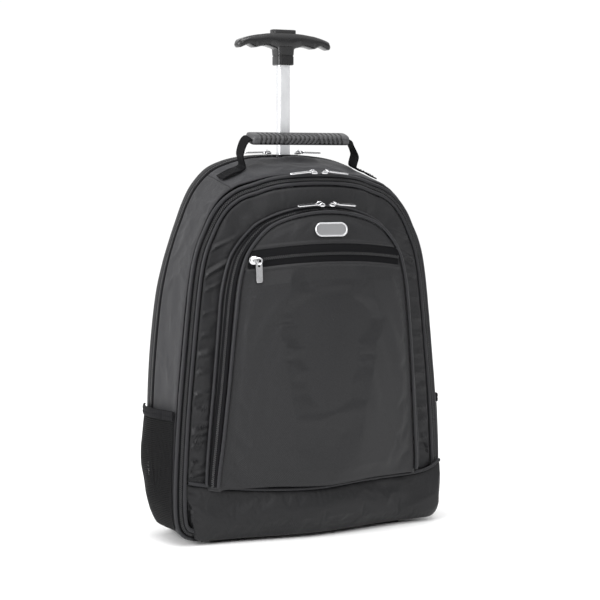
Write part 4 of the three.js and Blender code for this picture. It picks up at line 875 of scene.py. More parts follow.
def insideRing(ring, margin):  # test for flat points against an outline with one width at each height
    t = np.linspace(0, 0.5, 400)
    curve = alongRing(ring, t)[0]
    heights, widths = curve[:, 1], curve[:, 0]
    order = np.argsort(heights, kind="stable")
    heights, widths = heights[order], np.maximum.accumulate(widths[order][::-1])[::-1]

    def test(x, z):
        half = np.interp(z, heights, widths, left=0, right=0)
        return (np.abs(x) < half - margin) & (z > heights[0] + margin) & (z < heights[-1] - margin)
    return test


# Puckers beside the main zip: height on the left side, reach inwards, height of the fold, slant, depth
sidePuckers = np.array([
    (362, 30, 7, 0.5, 0.9), (331, 34, 8, 0.55, 1.3), (312, 26, 6, 0.4, 0.8), (284, 24, 7, 0.2, 0.8),
    (258, 24, 7, 0.1, 0.9), (236, 26, 8, 0.0, 1.3), (214, 26, 7, -0.1, 1.1), (187, 32, 7.5, 0.05, 1.5),
    (169, 26, 6.5, -0.15, 1.3), (142, 34, 7.5, 0.12, 1.6), (126, 26, 6, 0.0, 1.1), (104, 28, 7, -0.1, 0.9),
    (88, 30, 6, 0.15, 1.2),
])


def puckerDepth(x, z, half, side):
    total = np.zeros(np.shape(x))
    away = half - np.abs(x)  # distance from the outer seam
    for height, reach, width, slant, depth in sidePuckers:
        line = height + slant * away + (0 if side < 0 else 9)
        fade = share(away, reach, 0) * share(away, 0, 5)
        wave = np.cos(np.clip((z - line) / width, -1.5, 1.5) * np.pi)
        total += depth * fade * wave * bump(z, line, width * 1.5)
    return np.where(np.sign(x) == side, total, 0)


def addFrontPanel():
    t = np.linspace(0, 1, 561)[:-1]
    rim = skin(t, 0.0, pack["zipInset"] + 0.3)
    low = bootSeamZ(rim[:, 0]) - 3
    below = rim[:, 2] < low
    x = np.where(below, np.clip(rim[:, 0], -seamHalf + 0.6, seamHalf - 0.6), rim[:, 0])
    rim = np.stack([x, np.where(below, low, rim[:, 2])], -1)
    base = alongRing(pocketBase, t)[0]
    base = np.stack([base[:, 0] * 0.94, mix(panelMiddle, base[:, 1], 0.94)], -1)
    s = np.linspace(0, 1, 26)[None, :, None]
    flat = mix(base[:, None], rim[:, None], s)
    x, z = flat[..., 0], flat[..., 1]
    inner = insideRing(pocketBase, 2)
    limit = alongRing(frontRing, np.linspace(0, 0.5, 300))[0]
    half = np.interp(z, limit[:, 1], limit[:, 0]) - pack["zipInset"]

    def between(px, pz):
        reach = np.interp(pz, limit[:, 1], limit[:, 0]) - pack["zipInset"] - 2
        return (np.abs(px) < reach) & (pz > bootSeamZ(px) - 1) & (pz < 436) & ~inner(px, pz)
    field = flatField(panelY, between, (-186, 60), (186, 446),
                      frontCloth["growth"], frontCloth["pressure"], frontCloth["cap"])
    points = np.stack([x, panelY(x, z), z], -1) + field(x, z)
    edge = share(s[..., 0], 1, 0.9)
    sink = 1.4 * (1 - edge) ** 2
    pucker = puckerDepth(x, z, half, -1) + puckerDepth(x, z, half, 1) * 0.8
    points[..., 1] += sink - pucker * frontCloth["pucker"] * edge + 0.25 * smoothNoise(points, 30, 5)
    obj = piece("frontPanel", grid(points.transpose(1, 0, 2), wrapColumns=True), finish["front"], "bag",
                "front_and_top_cloth", ["front_panel"], thickness=pack["wall"])
    print("front panel made")


bootCloth = {"pucker": 0.9, "growth": 0.006, "pressure": 0.8, "cap": 2.5}


def addBoot():
    columns = 330
    u = np.linspace(-1, 1, columns)
    spread = np.sign(u) * (1 - (1 - np.abs(u)) ** 1.6)  # closer columns at the ends
    low = [np.interp(np.abs(spread), rows[:, 0], rows[:, 1]) for rows in (bootLeft, bootRight)]
    foot = mix(5, boot["seamEnds"], np.where(spread < 0, low[0], low[1]))
    x = spread * np.where(spread < 0, bootHalf, boot["rightHalf"])
    top = bootSeamZ(x) - 2 * boot["piping"] + 0.4
    up = np.linspace(0, 1, 44)[None]
    px, z = np.broadcast_arrays(x[:, None], mix(foot[:, None], top[:, None], up))
    points = np.stack([px, bootY(px, up + 0 * px), z], -1)
    fixed = np.zeros(points.shape[:2], bool)
    fixed[:2] = fixed[-2:] = fixed[:, :2] = fixed[:, -2:] = True
    points = settled(points, fixed, bootCloth["growth"], bootCloth["pressure"], bootCloth["cap"])
    # Small gathers at the left end, and a soft roll into the seam at the top
    away = px + bootHalf
    gather = bootCloth["pucker"] * np.sin(z / 1.65 + 0.25 * away) * share(away, 17, 3) * share(away, 0, 2)
    roll = 1.4 * (1 - share(top[:, None] - z, 0, 5)) ** 2
    points[..., 1] += roll - gather + 0.35 * smoothNoise(points, 46, 8) * share(away, 0, 10)
    obj = piece("frontBoot", grid(points), finish["boot"], "bag", "front_and_top_cloth", ["front_boot"],
                thickness=boot["wall"])
    x = np.linspace(-bootHalf + 0.5, boot["rightHalf"] - 3, 280)
    middle = np.stack([x, bootY(x, np.ones_like(x)) - 0.6, bootSeamZ(x) - boot["piping"]], -1)
    ahead, upward = np.tile((0.0, -1, 0), (280, 1)), np.tile((0.0, 0, 1), (280, 1))
    bead = pipingForm(middle, ahead, upward, boot["piping"], wobble=0.04, seed=6)
    piece("bootPiping", bead, finish["piping"], "bag", "piping_cloth", ["boot_piping"])
    print("boot made")


def pocketWall(down, first=3, count=520):  # places on the pocket's side wall, as in a strip round it
    points = len(pocketRise)
    t = np.linspace(first / points, 1 - first / points, count)
    base, _ = alongRing(pocketBase, t)
    face, way = alongRing(pocketFace, t)
    low = np.stack([base[:, 0], panelY(base[:, 0], base[:, 1]) - pocket["seat"], base[:, 1]], -1)
    high = np.stack([face[:, 0], pocketY(face[:, 0], face[:, 1], riseAt(t)), face[:, 1]], -1)
    slope = unit(low - high)
    along = np.stack([way[:, 0], np.zeros(count), way[:, 1]], -1)
    out = unit(np.cross(slope, along))
    length = np.linalg.norm(low - high, axis=-1, keepdims=True)
    return high + slope * length * down, out, slope


pocketCloth = {"growth": 0.008, "pressure": 0.9, "cap": 3.0}
# Soft folds on the pocket's face: middle x and z, half length, half width, turn in degrees, depth
faceFolds = np.array([
    (-88, 268, 62, 9, 62, 1.3), (-70, 226, 70, 10, 68, 1.1), (-96, 180, 60, 9, 78, 0.9),
    (92, 252, 70, 11, -64, 1.1), (60, 190, 60, 12, -72, 0.6), (0, 318, 70, 7, 4, 0.7),
])


def foldDepth(x, z, folds):
    total = np.zeros(np.shape(x))
    for middleX, middleZ, reach, width, turn, depth in folds:
        a = math.radians(turn)
        along = (x - middleX) * math.cos(a) + (z - middleZ) * math.sin(a)
        across = -(x - middleX) * math.sin(a) + (z - middleZ) * math.cos(a) + 0.002 * along**2
        total += depth * bump(along, 0, reach) * bump(across, 0, width)
        total -= 0.55 * depth * bump(along, 0, reach) * bump(across, -1.5 * width, width)
    return total


def addPocket():
    t = np.linspace(0, 1, 481)[:-1]
    face = alongRing(pocketFace, t)[0]
    s = np.linspace(0, 1, 150) ** 0.9
    flat = np.stack([face[:, None, 0] * s, mix(pocketMiddle, face[:, None, 1], s)], -1)
    x, z = flat[..., 0], flat[..., 1]
    rise = mix(1.0, riseAt(t)[:, None], s ** 3)
    field = flatField(pocketY, insideRing(pocketFace, 4), (-142, 62), (142, 410),
                      pocketCloth["growth"], pocketCloth["pressure"], pocketCloth["cap"])
    near = share(np.abs(z - faceZipZ(x) - 2), 14, 34) + share(np.abs(x), pocket["zipHalf"], 122)
    calm = share(s, 1, 0.9)[None] * np.minimum(1, near)
    points = np.stack([x, pocketY(x, z, rise), z], -1) + field(x, z) * calm[..., None]
    inner = share(s, 1, 0.85)[None]
    points[..., 1] -= foldDepth(x, z, faceFolds) * inner
    # The cloth ends in a fold above and below the zip's strip, and dips to the tape between them
    above = z - faceZipZ(x)
    along = share(pocket["zipHalf"] + 5 - np.abs(x), 0, 5)
    # Outwards from the strip's edges
    off = np.maximum(above - pocket["stripUp"], -pocket["stripDown"] - above)
    points[..., 1] += along * (pocket["stripDeep"] * share(off, 0.6, -1.4) - 0.9 * bump(off, 2.6, 3.2))
    points[..., 1] += 1.2 * (1 - share(1 - s, 0, 0.03)) ** 2
    down = np.linspace(0, 1, 16)[1:]
    base, _ = alongRing(pocketBase, t)
    low = np.stack([base[:, 0], panelY(base[:, 0], base[:, 1]) - pocket["seat"] + 0.6, base[:, 1]], -1)
    high = points[:, -1]
    wall = mix(high[:, None], low[:, None], down[None, :, None])
    points = np.concatenate([points, wall], 1)
    made = grid(points.transpose(1, 0, 2), wrapColumns=True)
    obj = piece("pocketShell", made, finish["front"], "bag", "front_and_top_cloth", ["pocket_shell"],
                thickness=pocket["wall"], sharp=60)
    for level, name, node, seed in ((0.06, "pocketPipingFace", "pocket_piping_face", 12),
                                    (0.86, "pocketPipingBase", "pocket_piping_base", 13)):
        middle, out, slope = pocketWall(level)
        beadMiddle = middle + out * pocket["pipingLift"]
        bead = pipingForm(beadMiddle, out, slope, pocket["piping"], wobble=0.05, seed=seed)
        piece(name, bead, finish["piping"], "bag", "piping_cloth", [node])
    middle, out, slope = pocketWall(pocket["zipLevel"])
    # Tape from piping to piping, with a ridge beside the chain on each side: (down, out)
    half = [(-6.2, 0.6), (-5.0, 1.5), (-3.6, 1.9), (-2.2, 1.5), (-1.7, 1.2)]
    rows = half + [(-a, b) for a, b in half[::-1]] + [(6.2, -0.2), (-6.2, -0.2)]
    loops = np.stack([middle + slope * a + out * (b + 0.5) for a, b in rows], 1)
    piece("pocketZipTape", loft(loops), finish["tape"], "bag", "zip_tape", ["pocket_zip_tape"])
    piece("pocketZipChain", chain(middle + out * 2.0, out), finish["coil"], "bag", "zip_tape")
    print("pocket made")


def addFaceZip():
    x = np.linspace(-pocket["zipHalf"], pocket["zipHalf"], 160)
    up, down = pocket["stripUp"] - 0.4, -pocket["stripDown"] + 0.4
    # Tape with a flap above the chain: (height above the chain, forwards)
    rows = np.array([(down, -0.7), (down + 1.2, -0.5), (-2.0, 0.1), (-1.6, -0.1), (1.5, -0.1), (1.7, 0.9),
                     (2.6, 1.5), (up - 1.5, 0.6), (up, -0.4)])

    def line(above, forwards):
        z = faceZipZ(x) + above
        return np.stack([x, pocketY(x, z) - forwards, z], -1)
    front = np.stack([line(a, b) for a, b in rows], 1)
    back = front[:, ::-1] + (0, 1.4, 0)
    piece("faceZipTape", loft(np.concatenate([front, back], 1)), finish["tape"], "bag", "zip_tape",
          ["face_zip_tape"])
    path = line(0, 0.7)
    ahead = np.tile((0.0, -1, 0), (len(x), 1))
    piece("faceZipChain", chain(path, ahead), finish["coil"], "bag", "zip_tape")
    print("face zip made")


# Small metal pieces

def frameOn(surface, x, z, lift, turn=0.0):  # directions and origin of a piece that lies on a surface
    small = 0.5

    def at(right, up):
        return float(surface(np.array(x + right), np.array(z + up)))
    here = np.array([x, at(0, 0), z])
    across = unit(np.array([2 * small, at(small, 0) - at(-small, 0), 0]))
    up = unit(np.array([0, at(0, small) - at(0, -small), 2 * small]))
    out = unit(np.cross(across, up))
    side = unit(np.cross(up, out))
    c, s = math.cos(turn), math.sin(turn)
    return np.stack([side * c + up * s, up * c - side * s, out, here + out * lift])


label = {"length": 45, "width": 17.5, "up": 386, "right": 1.0}


def addLabel():
    heights = (0, 1.8, 2.1, 2.1, 1.45, 1.4, 1.35)
    insets = (0, 0, 0.35, 1.3, 1.75, 2.2, 4.0)
    sides = 72
    plate = loft(roundedLoops(label["length"], label["width"], heights, insets, sides))
    here = frameOn(pocketY, label["right"], label["up"], -0.2)
    obj = piece("labelPlate", moved(plate, here), finish["label"], "bag", "nickel", ["label_plate"], sharp=50)
    # The sunk faces are painted darker as shade by the plate's finish
    sunk = np.repeat(np.array(insets) > 1.6, sides)
    addInlayAndSunkShade(obj, np.concatenate([sunk, (False, True)]))


slider = {"length": 9, "width": 7.5, "ring": 3.5, "wire": 0.95, "ringUp": -0.5, "ringAt": 4.4}
pull = {"length": 28, "width": 5.6, "thick": 1.5, "eye": 1.5, "edge": 0.35}


def sliderForm():
    heights, insets = (0, 0.3, 1.5, 1.9), (0.5, 0, 0, 0.5)
    body = loft(roundedLoops(slider["length"], slider["width"], heights, insets, 28))
    arc = np.linspace(0, np.pi, 14)
    middle = np.stack([np.cos(arc) * 3.0, np.zeros(14), 1.2 + np.sin(arc) * 2.3], -1)
    out = np.stack([np.cos(arc), np.zeros(14), np.sin(arc)], -1)
    section = [(-0.5, -1.1), (0.5, -1.1), (0.5, 1.1), (-0.5, 1.1)]
    bridge = sweep(middle, out, np.tile((0.0, 1, 0), (14, 1)), section)
    return joined([body, bridge])


def pullForm(length, width, corner=None):  # a flat bar along X, with an eye near its start
    sides = 56
    angle = (np.arange(sides) + 0.5) / sides * 2 * np.pi
    r, c = width / 2, corner or width / 2
    edge = np.stack([np.cos(angle) * c + np.sign(np.cos(angle)) * (length / 2 - c) + length / 2,
                     np.sin(angle) * c + np.sign(np.sin(angle)) * (r - c)], -1)
    hole = np.stack([np.cos(angle) * pull["eye"] + r, np.sin(angle) * pull["eye"]], -1)
    thick, cut = pull["thick"], pull["edge"]
    loops = []
    for flat, inset, z in ((edge, cut, 0), (edge, 0, cut), (edge, 0, thick - cut), (edge, cut, thick),
                           (hole, 0, thick), (hole, 0, 0)):
        middle = flat.mean(0)
        away = unit(flat - middle) * inset
        loops.append(np.concatenate([flat - away, np.full((sides, 1), z)], -1))
    return loft(loops, round=True)


def crestFrame(x, y, inset, lift, lean):
    reach = float(skin(0.5 - 0.02, y, inset)[0])
    t = 0.5 - 0.02 * x / reach
    here = skin(t, y, inset)
    along = unit(skin(t - 1e-3, y, inset) - here)
    out = np.array([0, -math.sin(lean), math.cos(lean)])
    up = unit(np.cross(out, along))
    normal = unit(np.cross(along, up))
    return np.stack([along, up, normal, here + normal * lift])


def addSlider(name, node, here, side, tilt=0.0, pullLift=1.6):
    piece("slider" + name, moved(sliderForm(), here), finish["nickel"], "bag", "nickel", ["slider_" + node])
    c, d = math.cos(slider["ringUp"]), math.sin(slider["ringUp"])
    ring = moved(ringForm(slider["ring"], slider["wire"]),
                 np.array([(side * c, 0, d), (0, 1, 0), (-side * d, 0, c), (side * slider["ringAt"], 0, 3.2)]))
    bar = pullForm(pull["length"], pull["width"])
    flip = np.array([(side, 0, math.sin(tilt)), (0, 1, 0), (0, 0, 1), (side * 6.0, 0, pullLift)])
    points, quads, tris = joined([moved(bar, flip), ring])
    placed = (points @ here[:3] + here[3], quads, tris)
    if np.linalg.det(here[:3]) < 0:
        placed = (placed[0], quads[:, ::-1], tris[:, ::-1])
    piece("pull" + name, placed, finish["nickel"], "bag", "nickel", ["pull_" + node])


def addSliders():
    crest = float(seamY(0)) + 1.5
    for side, name in ((-1, "Left"), (1, "Right")):
        here = crestFrame(side * 7, crest, pack["zipInset"] / 2, 7.0, 0.12)
        addSlider("Main" + name, "main_" + name.lower(), here, side, tilt=-0.1, pullLift=2.2)
    middle = (pack["rearFront"] + pack["rearBack"]) / 2
    apart = bezelHole["halfX"] + slider["length"] / 2 + 1
    for side, name in ((-1, "Left"), (1, "Right")):
        here = crestFrame(side * apart, middle, -1.2, 1.4, -0.1)
        addSlider("Rear" + name, "rear_" + name.lower(), here, side)
    place, out, _ = pocketWall(pocket["zipLevel"])
    top = len(place) // 2
    for side, name in ((-1, "Left"), (1, "Right")):
        up = np.cross(out[top], (1.0, 0, 0))
        origin = place[top] * (0, 1, 1) + out[top] * 7.2 + (side * 7 + 1.5, 0, -0.4)
        here = np.stack([np.array([1.0, 0, 0]), unit(up), out[top], origin])
        addSlider("Pocket" + name, "pocket_" + name.lower(), here, side, tilt=-0.08)
    # The face zip's slider is larger, and its pull hangs down
    x = -pocket["zipHalf"] + slider["length"] / 2 + 1.5
    big = np.array([1.35, 1.35, 1.2, 1])[:, None]
    here = frameOn(pocketY, x, float(faceZipZ(np.array(x))), 0.8) * big
    piece("sliderFace", moved(sliderForm(), here), finish["nickel"], "bag", "nickel", ["slider_face"])
    hang = frameOn(pocketY, x + 5.2, float(faceZipZ(np.array(x))) - 2.6, 3.4, -math.pi / 2)
    ring = moved(ringForm(3.8, 1.1), np.array([(1.0, 0, 0.25), (0, 1, 0), (-0.25, 0, 1), (-1.5, 0, 1.2)]))
    both = joined([pullForm(24.5, 8.2, corner=2.4), ring])
    piece("pullFace", moved(both, hang), finish["nickel"], "bag", "nickel", ["pull_face"])
    print("sliders, pulls and label made")


# Net side pockets

net = {"top": 154, "bottom": 22, "front": 16, "back": 108, "bulge": 15, "seat": 1.3, "thick": 0.8,
       "pitch": 2.3, "holeShare": 0.62, "elastic": 11.5, "elasticThick": 2.0}


def netGrid(side, a, b, inset):
    z = mix(net["bottom"], net["top"], b)
    y = mix(net["front"], net["back"], a)
    a, b, y, z = np.broadcast_arrays(a, b, y, z)
    low = np.full(a.shape, 3 / ringCount)
    high = np.full(a.shape, pack["shoulderRow"] / ringCount)
    for _ in range(26):
        half = (low + high) / 2
        short = skin(half, y, 0.0)[..., 2] < z
        low, high = np.where(short, half, low), np.where(short, high, half)
    swell = net["bulge"] * np.sin(np.pi * a**1.5) ** 0.8 * np.sin(np.pi * mix(0.1, 0.8, b))
    points = skin(low, y, inset - swell)
    return points * (side, 1, 1)


def addNetPockets():
    rows = int((net["top"] - net["bottom"]) / net["pitch"]) + 1
    columns = int((net["back"] - net["front"]) / net["pitch"]) + 1
    b = np.linspace(0, 1, rows)[:, None]
    a = np.linspace(0, 1, columns)[None]
    for side, name in ((1, "Right"), (-1, "Left")):
        outer = netGrid(side, a, b, -net["seat"] - net["thick"])
        inner = netGrid(side, a, b, -net["seat"])
        sag = 1.2 * smoothNoise(outer, 40, 21 + side) * np.sin(np.pi * a) * np.sin(np.pi * np.clip(b, 0, 1))
        outer[..., 0] += side * sag
        inner[..., 0] += side * sag
        piece("net" + name, netForm(outer, inner), finish["net"], "bag", "net", ["net_" + name.lower()])
        line = np.linspace(0, 1, 120)[None]
        level = np.linspace(0, 1, 25)[:, None]
        outerBand = netGrid(side, line, 1 + 0 * level, -net["seat"] - net["elasticThick"])
        height = mix(net["top"] + 0.9, net["top"] + 0.9 + net["elastic"], level)
        outerBand[..., 2] = height - 1.6 * bump(line, 0.24, 0.05) * (1 - level)
        # Two soft rolls along the band
        roll = 0.9 * np.abs(np.sin(2 * np.pi * level)) * bump(level, 0.5, 0.9)
        gather = 0.16 * np.sin(line * 92 * np.pi / 2.2) * bump(level, 0.5, 0.9)
        tack = 1.6 * bump(line, 0.24, 0.035)
        outerBand[..., 0] += side * (roll + gather - tack)
        innerBand = outerBand - (side * net["elasticThick"], 0, 0)
        section = np.concatenate([outerBand, innerBand[::-1]], 0).transpose(1, 0, 2)
        piece("elastic" + name, loft(section), finish["elastic"], "bag", "elastic",
              ["elastic_" + name.lower()])
    print("net pockets made")


def netForm(outer, inner):  # a sheet with a gap in each cell, each gap a six-sided hole
    rows, columns = outer.shape[:2]
    cell = gridQuads(rows, columns)
    both = [outer.reshape(-1, 3), inner.reshape(-1, 3)]
    middle = [p[cell].mean(1, keepdims=True) for p in both]
    hole = [mix(m, p[cell], net["holeShare"]) for p, m in zip(both, middle)]
    count = rows * columns
    cells = len(cell)
    corners = np.arange(cells * 4).reshape(cells, 4)
    holeIndex = [2 * count + corners, 2 * count + cells * 4 + corners]
    quads = []
    for k in range(4):
        n = (k + 1) % 4
        quads.append(np.stack([cell[:, k], cell[:, n], holeIndex[0][:, n], holeIndex[0][:, k]], -1))
        quads.append(np.stack([cell[:, n], cell[:, k], holeIndex[1][:, k], holeIndex[1][:, n]], -1)
                     + np.array([count, count, 0, 0]))
        quads.append(np.stack([holeIndex[0][:, k], holeIndex[0][:, n],
                               holeIndex[1][:, n], holeIndex[1][:, k]], -1))
    rims = []
    for line in (np.arange(columns), (rows - 1) * columns + np.arange(columns)[::-1],
                 (np.arange(rows) * columns)[::-1], np.arange(rows) * columns + columns - 1):
        rims.append(np.stack([line[1:], line[:-1], line[:-1] + count, line[1:] + count], -1))
    points = np.concatenate([both[0], both[1], hole[0].reshape(-1, 3), hole[1].reshape(-1, 3)])
    return outwards(form(points, np.concatenate(quads + rims)))


# Carrying grip

grip = {"length": 138, "width": 25, "height": 13, "up": 498.5, "lean": 17, "depth": 49,
        "grooveDeep": 1.0, "groovePitch": 6.4, "webHalf": 9.5, "stitchHalf": 7.5}


def gripPlace(points):
    a = math.radians(grip["lean"])
    turn = np.array([(1, 0, 0), (0, math.cos(a), math.sin(a)), (0, -math.sin(a), math.cos(a))])
    return points @ turn + (0, grip["depth"], grip["up"])


def addGrip():
    s = np.linspace(-1, 1, 361)[:, None]
    angle = np.linspace(0, 2 * np.pi, 121)[:-1][None]
    end = 1 - 0.16 * (np.abs(s) > 0.985) - 0.1 * share(np.abs(s), 0.94, 1) ** 2
    c, d = np.cos(angle), np.sin(angle)
    y = np.sign(c) * np.abs(c) ** 0.62 * grip["width"] / 2
    z = np.sign(d) * np.abs(d) ** np.where(d > 0, 0.8, 0.5) * grip["height"] / 2
    x, y, z = np.broadcast_arrays(s * grip["length"] / 2, y, z)
    # Grooves across the forward and upper face: slanted in the middle, bowed outwards towards the ends
    around = -y * 0.75 + z * 0.9  # from the face's lower edge over to its upper edge
    face = share(around, 2.6, 4) * share(14.5, around, around + 1.5)
    reach = np.abs(x)
    bowed = reach + 0.035 * (around - 6) ** 2
    slant = x - 0.75 * (around - 6)
    wave = np.where(reach > 24, bowed, slant) / grip["groovePitch"]
    groove = share(np.cos(2 * np.pi * wave), -0.1, 0.35) * face * share(0.9 - np.abs(s), 0, 0.02)
    lift = -grip["grooveDeep"] * groove
    out = unit(np.stack([0 * x, y / grip["width"] ** 2, z / grip["height"] ** 2], -1))
    points = np.stack([x, y * end, z * end], -1) + out * lift[..., None]
    obj = piece("carryingGrip", loft(gripPlace(points)), finish["grip"], "bag", "grip_rubber", ["grip"],
                sharp=70)
    # The grooves take the dark colour: the darker rubber beneath, together with painted shade
    addInlayAndSunkShade(obj, np.concatenate([groove.ravel(), (0, 0)]))

    half = grip["length"] / 2
    edges = []
    for across in (-1, 1):
        inGrip = [gripPlace(np.array([x, across * grip["webHalf"], z])) for x, z in
                  ((half * 0.3, 0), (half * 0.9, 0), (half + 3, 0), (half + 8, -7))]
        y = grip["depth"] + across * grip["webHalf"]
        onPack = [skin(row / ringCount, y, -1.9 - out)
                  for row, out in ((17.5, 15), (17.3, 1.2), (16.6, 0), (15.9, 0))]
        onPack[0] = onPack[0] + (4, 0, 0)
        right = np.array(inGrip + onPack)
        edges.append(np.concatenate([(right * (-1, 1, 1))[::-1], right]))
    t = np.linspace(0, 1, 200)
    w = np.linspace(0, 1, 9)[None, :, None]
    near, along = alongOpen(edges[0], t, 0.4)
    far, _ = alongOpen(edges[1], t, 0.4)
    middle = mix(near[:, None], far[:, None], w)
    up = unit(np.stack([-along[:, 2], 0 * t, along[:, 0]], -1))[:, None]
    section = np.concatenate([middle + up * 0.9, (middle - up * 0.9)[:, ::-1]], 1)
    piece("gripWebbing", loft(section), finish["webbing"], "bag", "webbing", ["grip_webbing"])
    addBoxStitch()
    print("grip made")


stitch = {"length": 2.6, "pitch": 3.4, "radius": 0.35}


def stitches(lines):  # short thread lengths along lines, each with its outward direction
    made = []
    for path, out in lines:
        place = evenly(path, stitch["pitch"])[:-1] + 0.01
        i = np.clip(place.astype(int), 0, len(path) - 2)
        middle = mix(path[i], path[i + 1], (place - i)[:, None])
        along = unit(path[i + 1] - path[i])
        normal = unit(out[i])
        side = unit(np.cross(normal, along))
        r = stitch["radius"]
        thread = blockForm(stitch["length"], 2 * r, 1.4 * r, 0.12)
        made.append(repeated(thread, middle, np.stack([along, side, normal], 1)))
    return joined(made)


def addBoxStitch():
    low, high = 16.15, 17.0  # outline rows at the box's two ends
    front, back = grip["depth"] - grip["stitchHalf"], grip["depth"] + grip["stitchHalf"]
    lengthways, across = np.linspace(low, high, 60) / ringCount, np.linspace(front, back, 30)
    lines = []
    for side in (-1, 1):
        for t, y in ((lengthways, front), (lengthways, back),
                     (low / ringCount, across), (high / ringCount, across)):
            path, above = skin(t, y, -2.95), skin(t, y, -3.95)
            lines.append((path * (side, 1, 1), (above - path) * (side, 1, 1)))
    piece("gripStitches", stitches(lines), finish["thread"], "bag", "webbing")


# Pulling handle, wheels and base fittings

tee = {"width": 135, "top": 634, "thick": 21, "height": 23, "wellHalf": 17.3, "wellDeep": 6.3,
       "wellFloor": 624.2, "collarAcross": 11.6, "collarDeep": 11.2, "buttonAcross": 17, "buttonDeep": 6}
# Collar: height and size, with a fine joint line at 605. Button: height and inset
collarRows = ((593, 0.93), (594, 1.0), (604, 1.0), (604.4, 0.95), (605.4, 0.95), (605.8, 1.0), (616, 1.06))
buttonRows = ((628, 0.6), (628.6, 0), (637.6, 0), (638.2, 0.4), (638.5, 1.1))


def addTee():
    reach = tee["width"] / 2
    well = tee["wellHalf"] / reach
    u = np.sort(np.concatenate([np.linspace(-1, 1, 141), [-well, -well + 1e-4, well - 1e-4, well]]))
    a = np.abs(u)
    slots = [np.interp(a, teeRows[:, 0], teeRows[:, k]) for k in (1, 2, 3)]
    weight = np.exp(-((a[:, None] - a[None]) / 0.035) ** 2)
    weight /= weight.sum(1, keepdims=True)
    drop, underDrop, thick = (weight @ s for s in slots)
    end = np.sqrt(np.clip(1 - share(a, 0.93, 1.001) ** 2, 0.02, 1))
    high = tee["top"] - drop * tee["height"]
    low = tee["top"] - underDrop * tee["height"]
    middle = (high + low) / 2
    high, low = mix(middle, high, end), mix(middle, low, end)
    half = tee["thick"] / 2 * thick * mix(0.55, 1, end)
    floor = np.where(a < well, tee["wellFloor"], high)
    lip = np.minimum(tee["wellDeep"], half - 1.5)
    # Section of the bar: up its front, down into the button's well and out, down its back and under it
    front = [(-1, 0.5), (-0.97, 0.68), (-0.88, 0.84), (-0.74, 0.95)]
    back = [(-c, d) for c, d in front[::-1]] + [(1, 0.28)]
    under = [(0.93, 0.13), (0.8, 0.04), (0.6, 0.0), (-0.6, 0.0), (-0.8, 0.04), (-0.93, 0.13)]
    ends = [(half * c, mix(low, high, d)) for c, d in front]
    ends += [(-lip, high), (-lip, floor), (lip, floor), (lip, high)]
    ends += [(half * c, mix(low, high, d)) for c, d in back + under]
    bar = loft(np.stack([np.stack([u * reach, poleY + y, z], -1) for y, z in ends], 1))
    angle = np.linspace(0, 2 * np.pi, 41)[:-1]
    square = np.stack([np.sign(np.cos(angle)) * np.abs(np.cos(angle)) ** 0.38,
                       np.sign(np.sin(angle)) * np.abs(np.sin(angle)) ** 0.38], -1)

    def level(across, deep, z):
        return np.concatenate([square * (across, deep) + (0, poleY), np.full((40, 1), float(z))], -1)
    collar = loft(np.stack([level(tee["collarAcross"] * size, tee["collarDeep"] * size, z)
                            for z, size in collarRows]))
    button = loft(np.stack([level(tee["buttonAcross"] - inset, tee["buttonDeep"] - inset, z)
                            for z, inset in buttonRows]))
    piece("teeHandle", joined([bar, collar]), finish["plastic"], "handle", "black_plastic", ["tee"], sharp=35)
    piece("pushButton", button, finish["plastic"], "button", "black_plastic", ["button"])
    print("tee and button made")


def lathe(rows, centre, segments=72):  # rows of radius and place along X, turned about an axle
    rows = np.asarray(rows, float)
    angle = np.arange(segments) / segments * 2 * np.pi
    loops = np.stack([np.broadcast_to(rows[None, :, 1], (segments, len(rows))),
                      np.cos(angle)[:, None] * rows[None, :, 0],
                      np.sin(angle)[:, None] * rows[None, :, 0]], -1) + centre
    return loft(loops, round=True)


wheel = {"apart": 135, "behind": 103, "up": 28.0, "spokes": 5, "spokeAt": 16.3}
# Half sections from the inner side to the middle: radius, place along the axle
tyreHalf = [(23, -10), (25.6, -10), (27, -9.3), (27.7, -7.5), (28, -4.4), (28, -3.2), (27.3, -2.8),
            (27.3, -2.2), (28, -1.8)]
hubHalf = [(3.35, -11), (9.6, -11), (10.4, -10.4), (12.7, -6), (20, -7.5), (21.5, -9), (22.7, -9)]
axleHalf = [(0.01, -15.7), (2.6, -15.7), (3, -15.3)]


def mirroredRows(half):
    return half + [(radius, -along) for radius, along in half[::-1]]


def addWheels():
    for side, name in ((1, "Right"), (-1, "Left")):
        node = name.lower()
        centre = np.array([side * wheel["apart"], wheel["behind"], wheel["up"]])
        tyre, hub, axle = (mirroredRows(half) for half in (tyreHalf, hubHalf, axleHalf))
        piece("tyre" + name, lathe(tyre, centre), finish["tyre"], "wheel_" + node, "tyre_rubber",
              ["tyre_" + node])
        count = wheel["spokes"]
        arms = np.arange(count) / count * 2 * np.pi
        axes = np.stack([np.tile((1.0, 0, 0), (count, 1)),
                         np.stack([0 * arms, np.cos(arms), np.sin(arms)], -1),
                         np.stack([0 * arms, -np.sin(arms), np.cos(arms)], -1)], 1)
        spokes = repeated(blockForm(15, 10, 2.6, 0.4), centre + axes[:, 1] * wheel["spokeAt"], axes)
        piece("hub" + name, joined([lathe(hub, centre), spokes]), finish["plastic"], "wheel_" + node,
              "black_plastic", ["hub_" + node])
        piece("axle" + name, lathe(axle, centre, 32), finish["steel"], "bag", "steel", ["axle_" + node])
    # Solids that are shown as they are
    fittings = {"aluminium": ("pole", "middle_tube", "outer_tube"), "skid": ("front_skid",),
                "plastic": ("bezel", "wheel_well_left", "wheel_well_right", "strap_buckle_left",
                            "strap_buckle_right")}
    for name, nodes in fittings.items():
        for node in nodes:
            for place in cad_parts[node].material_slots:
                place.material = finish[name]
    print("wheels and fittings made")


# Shoulder straps

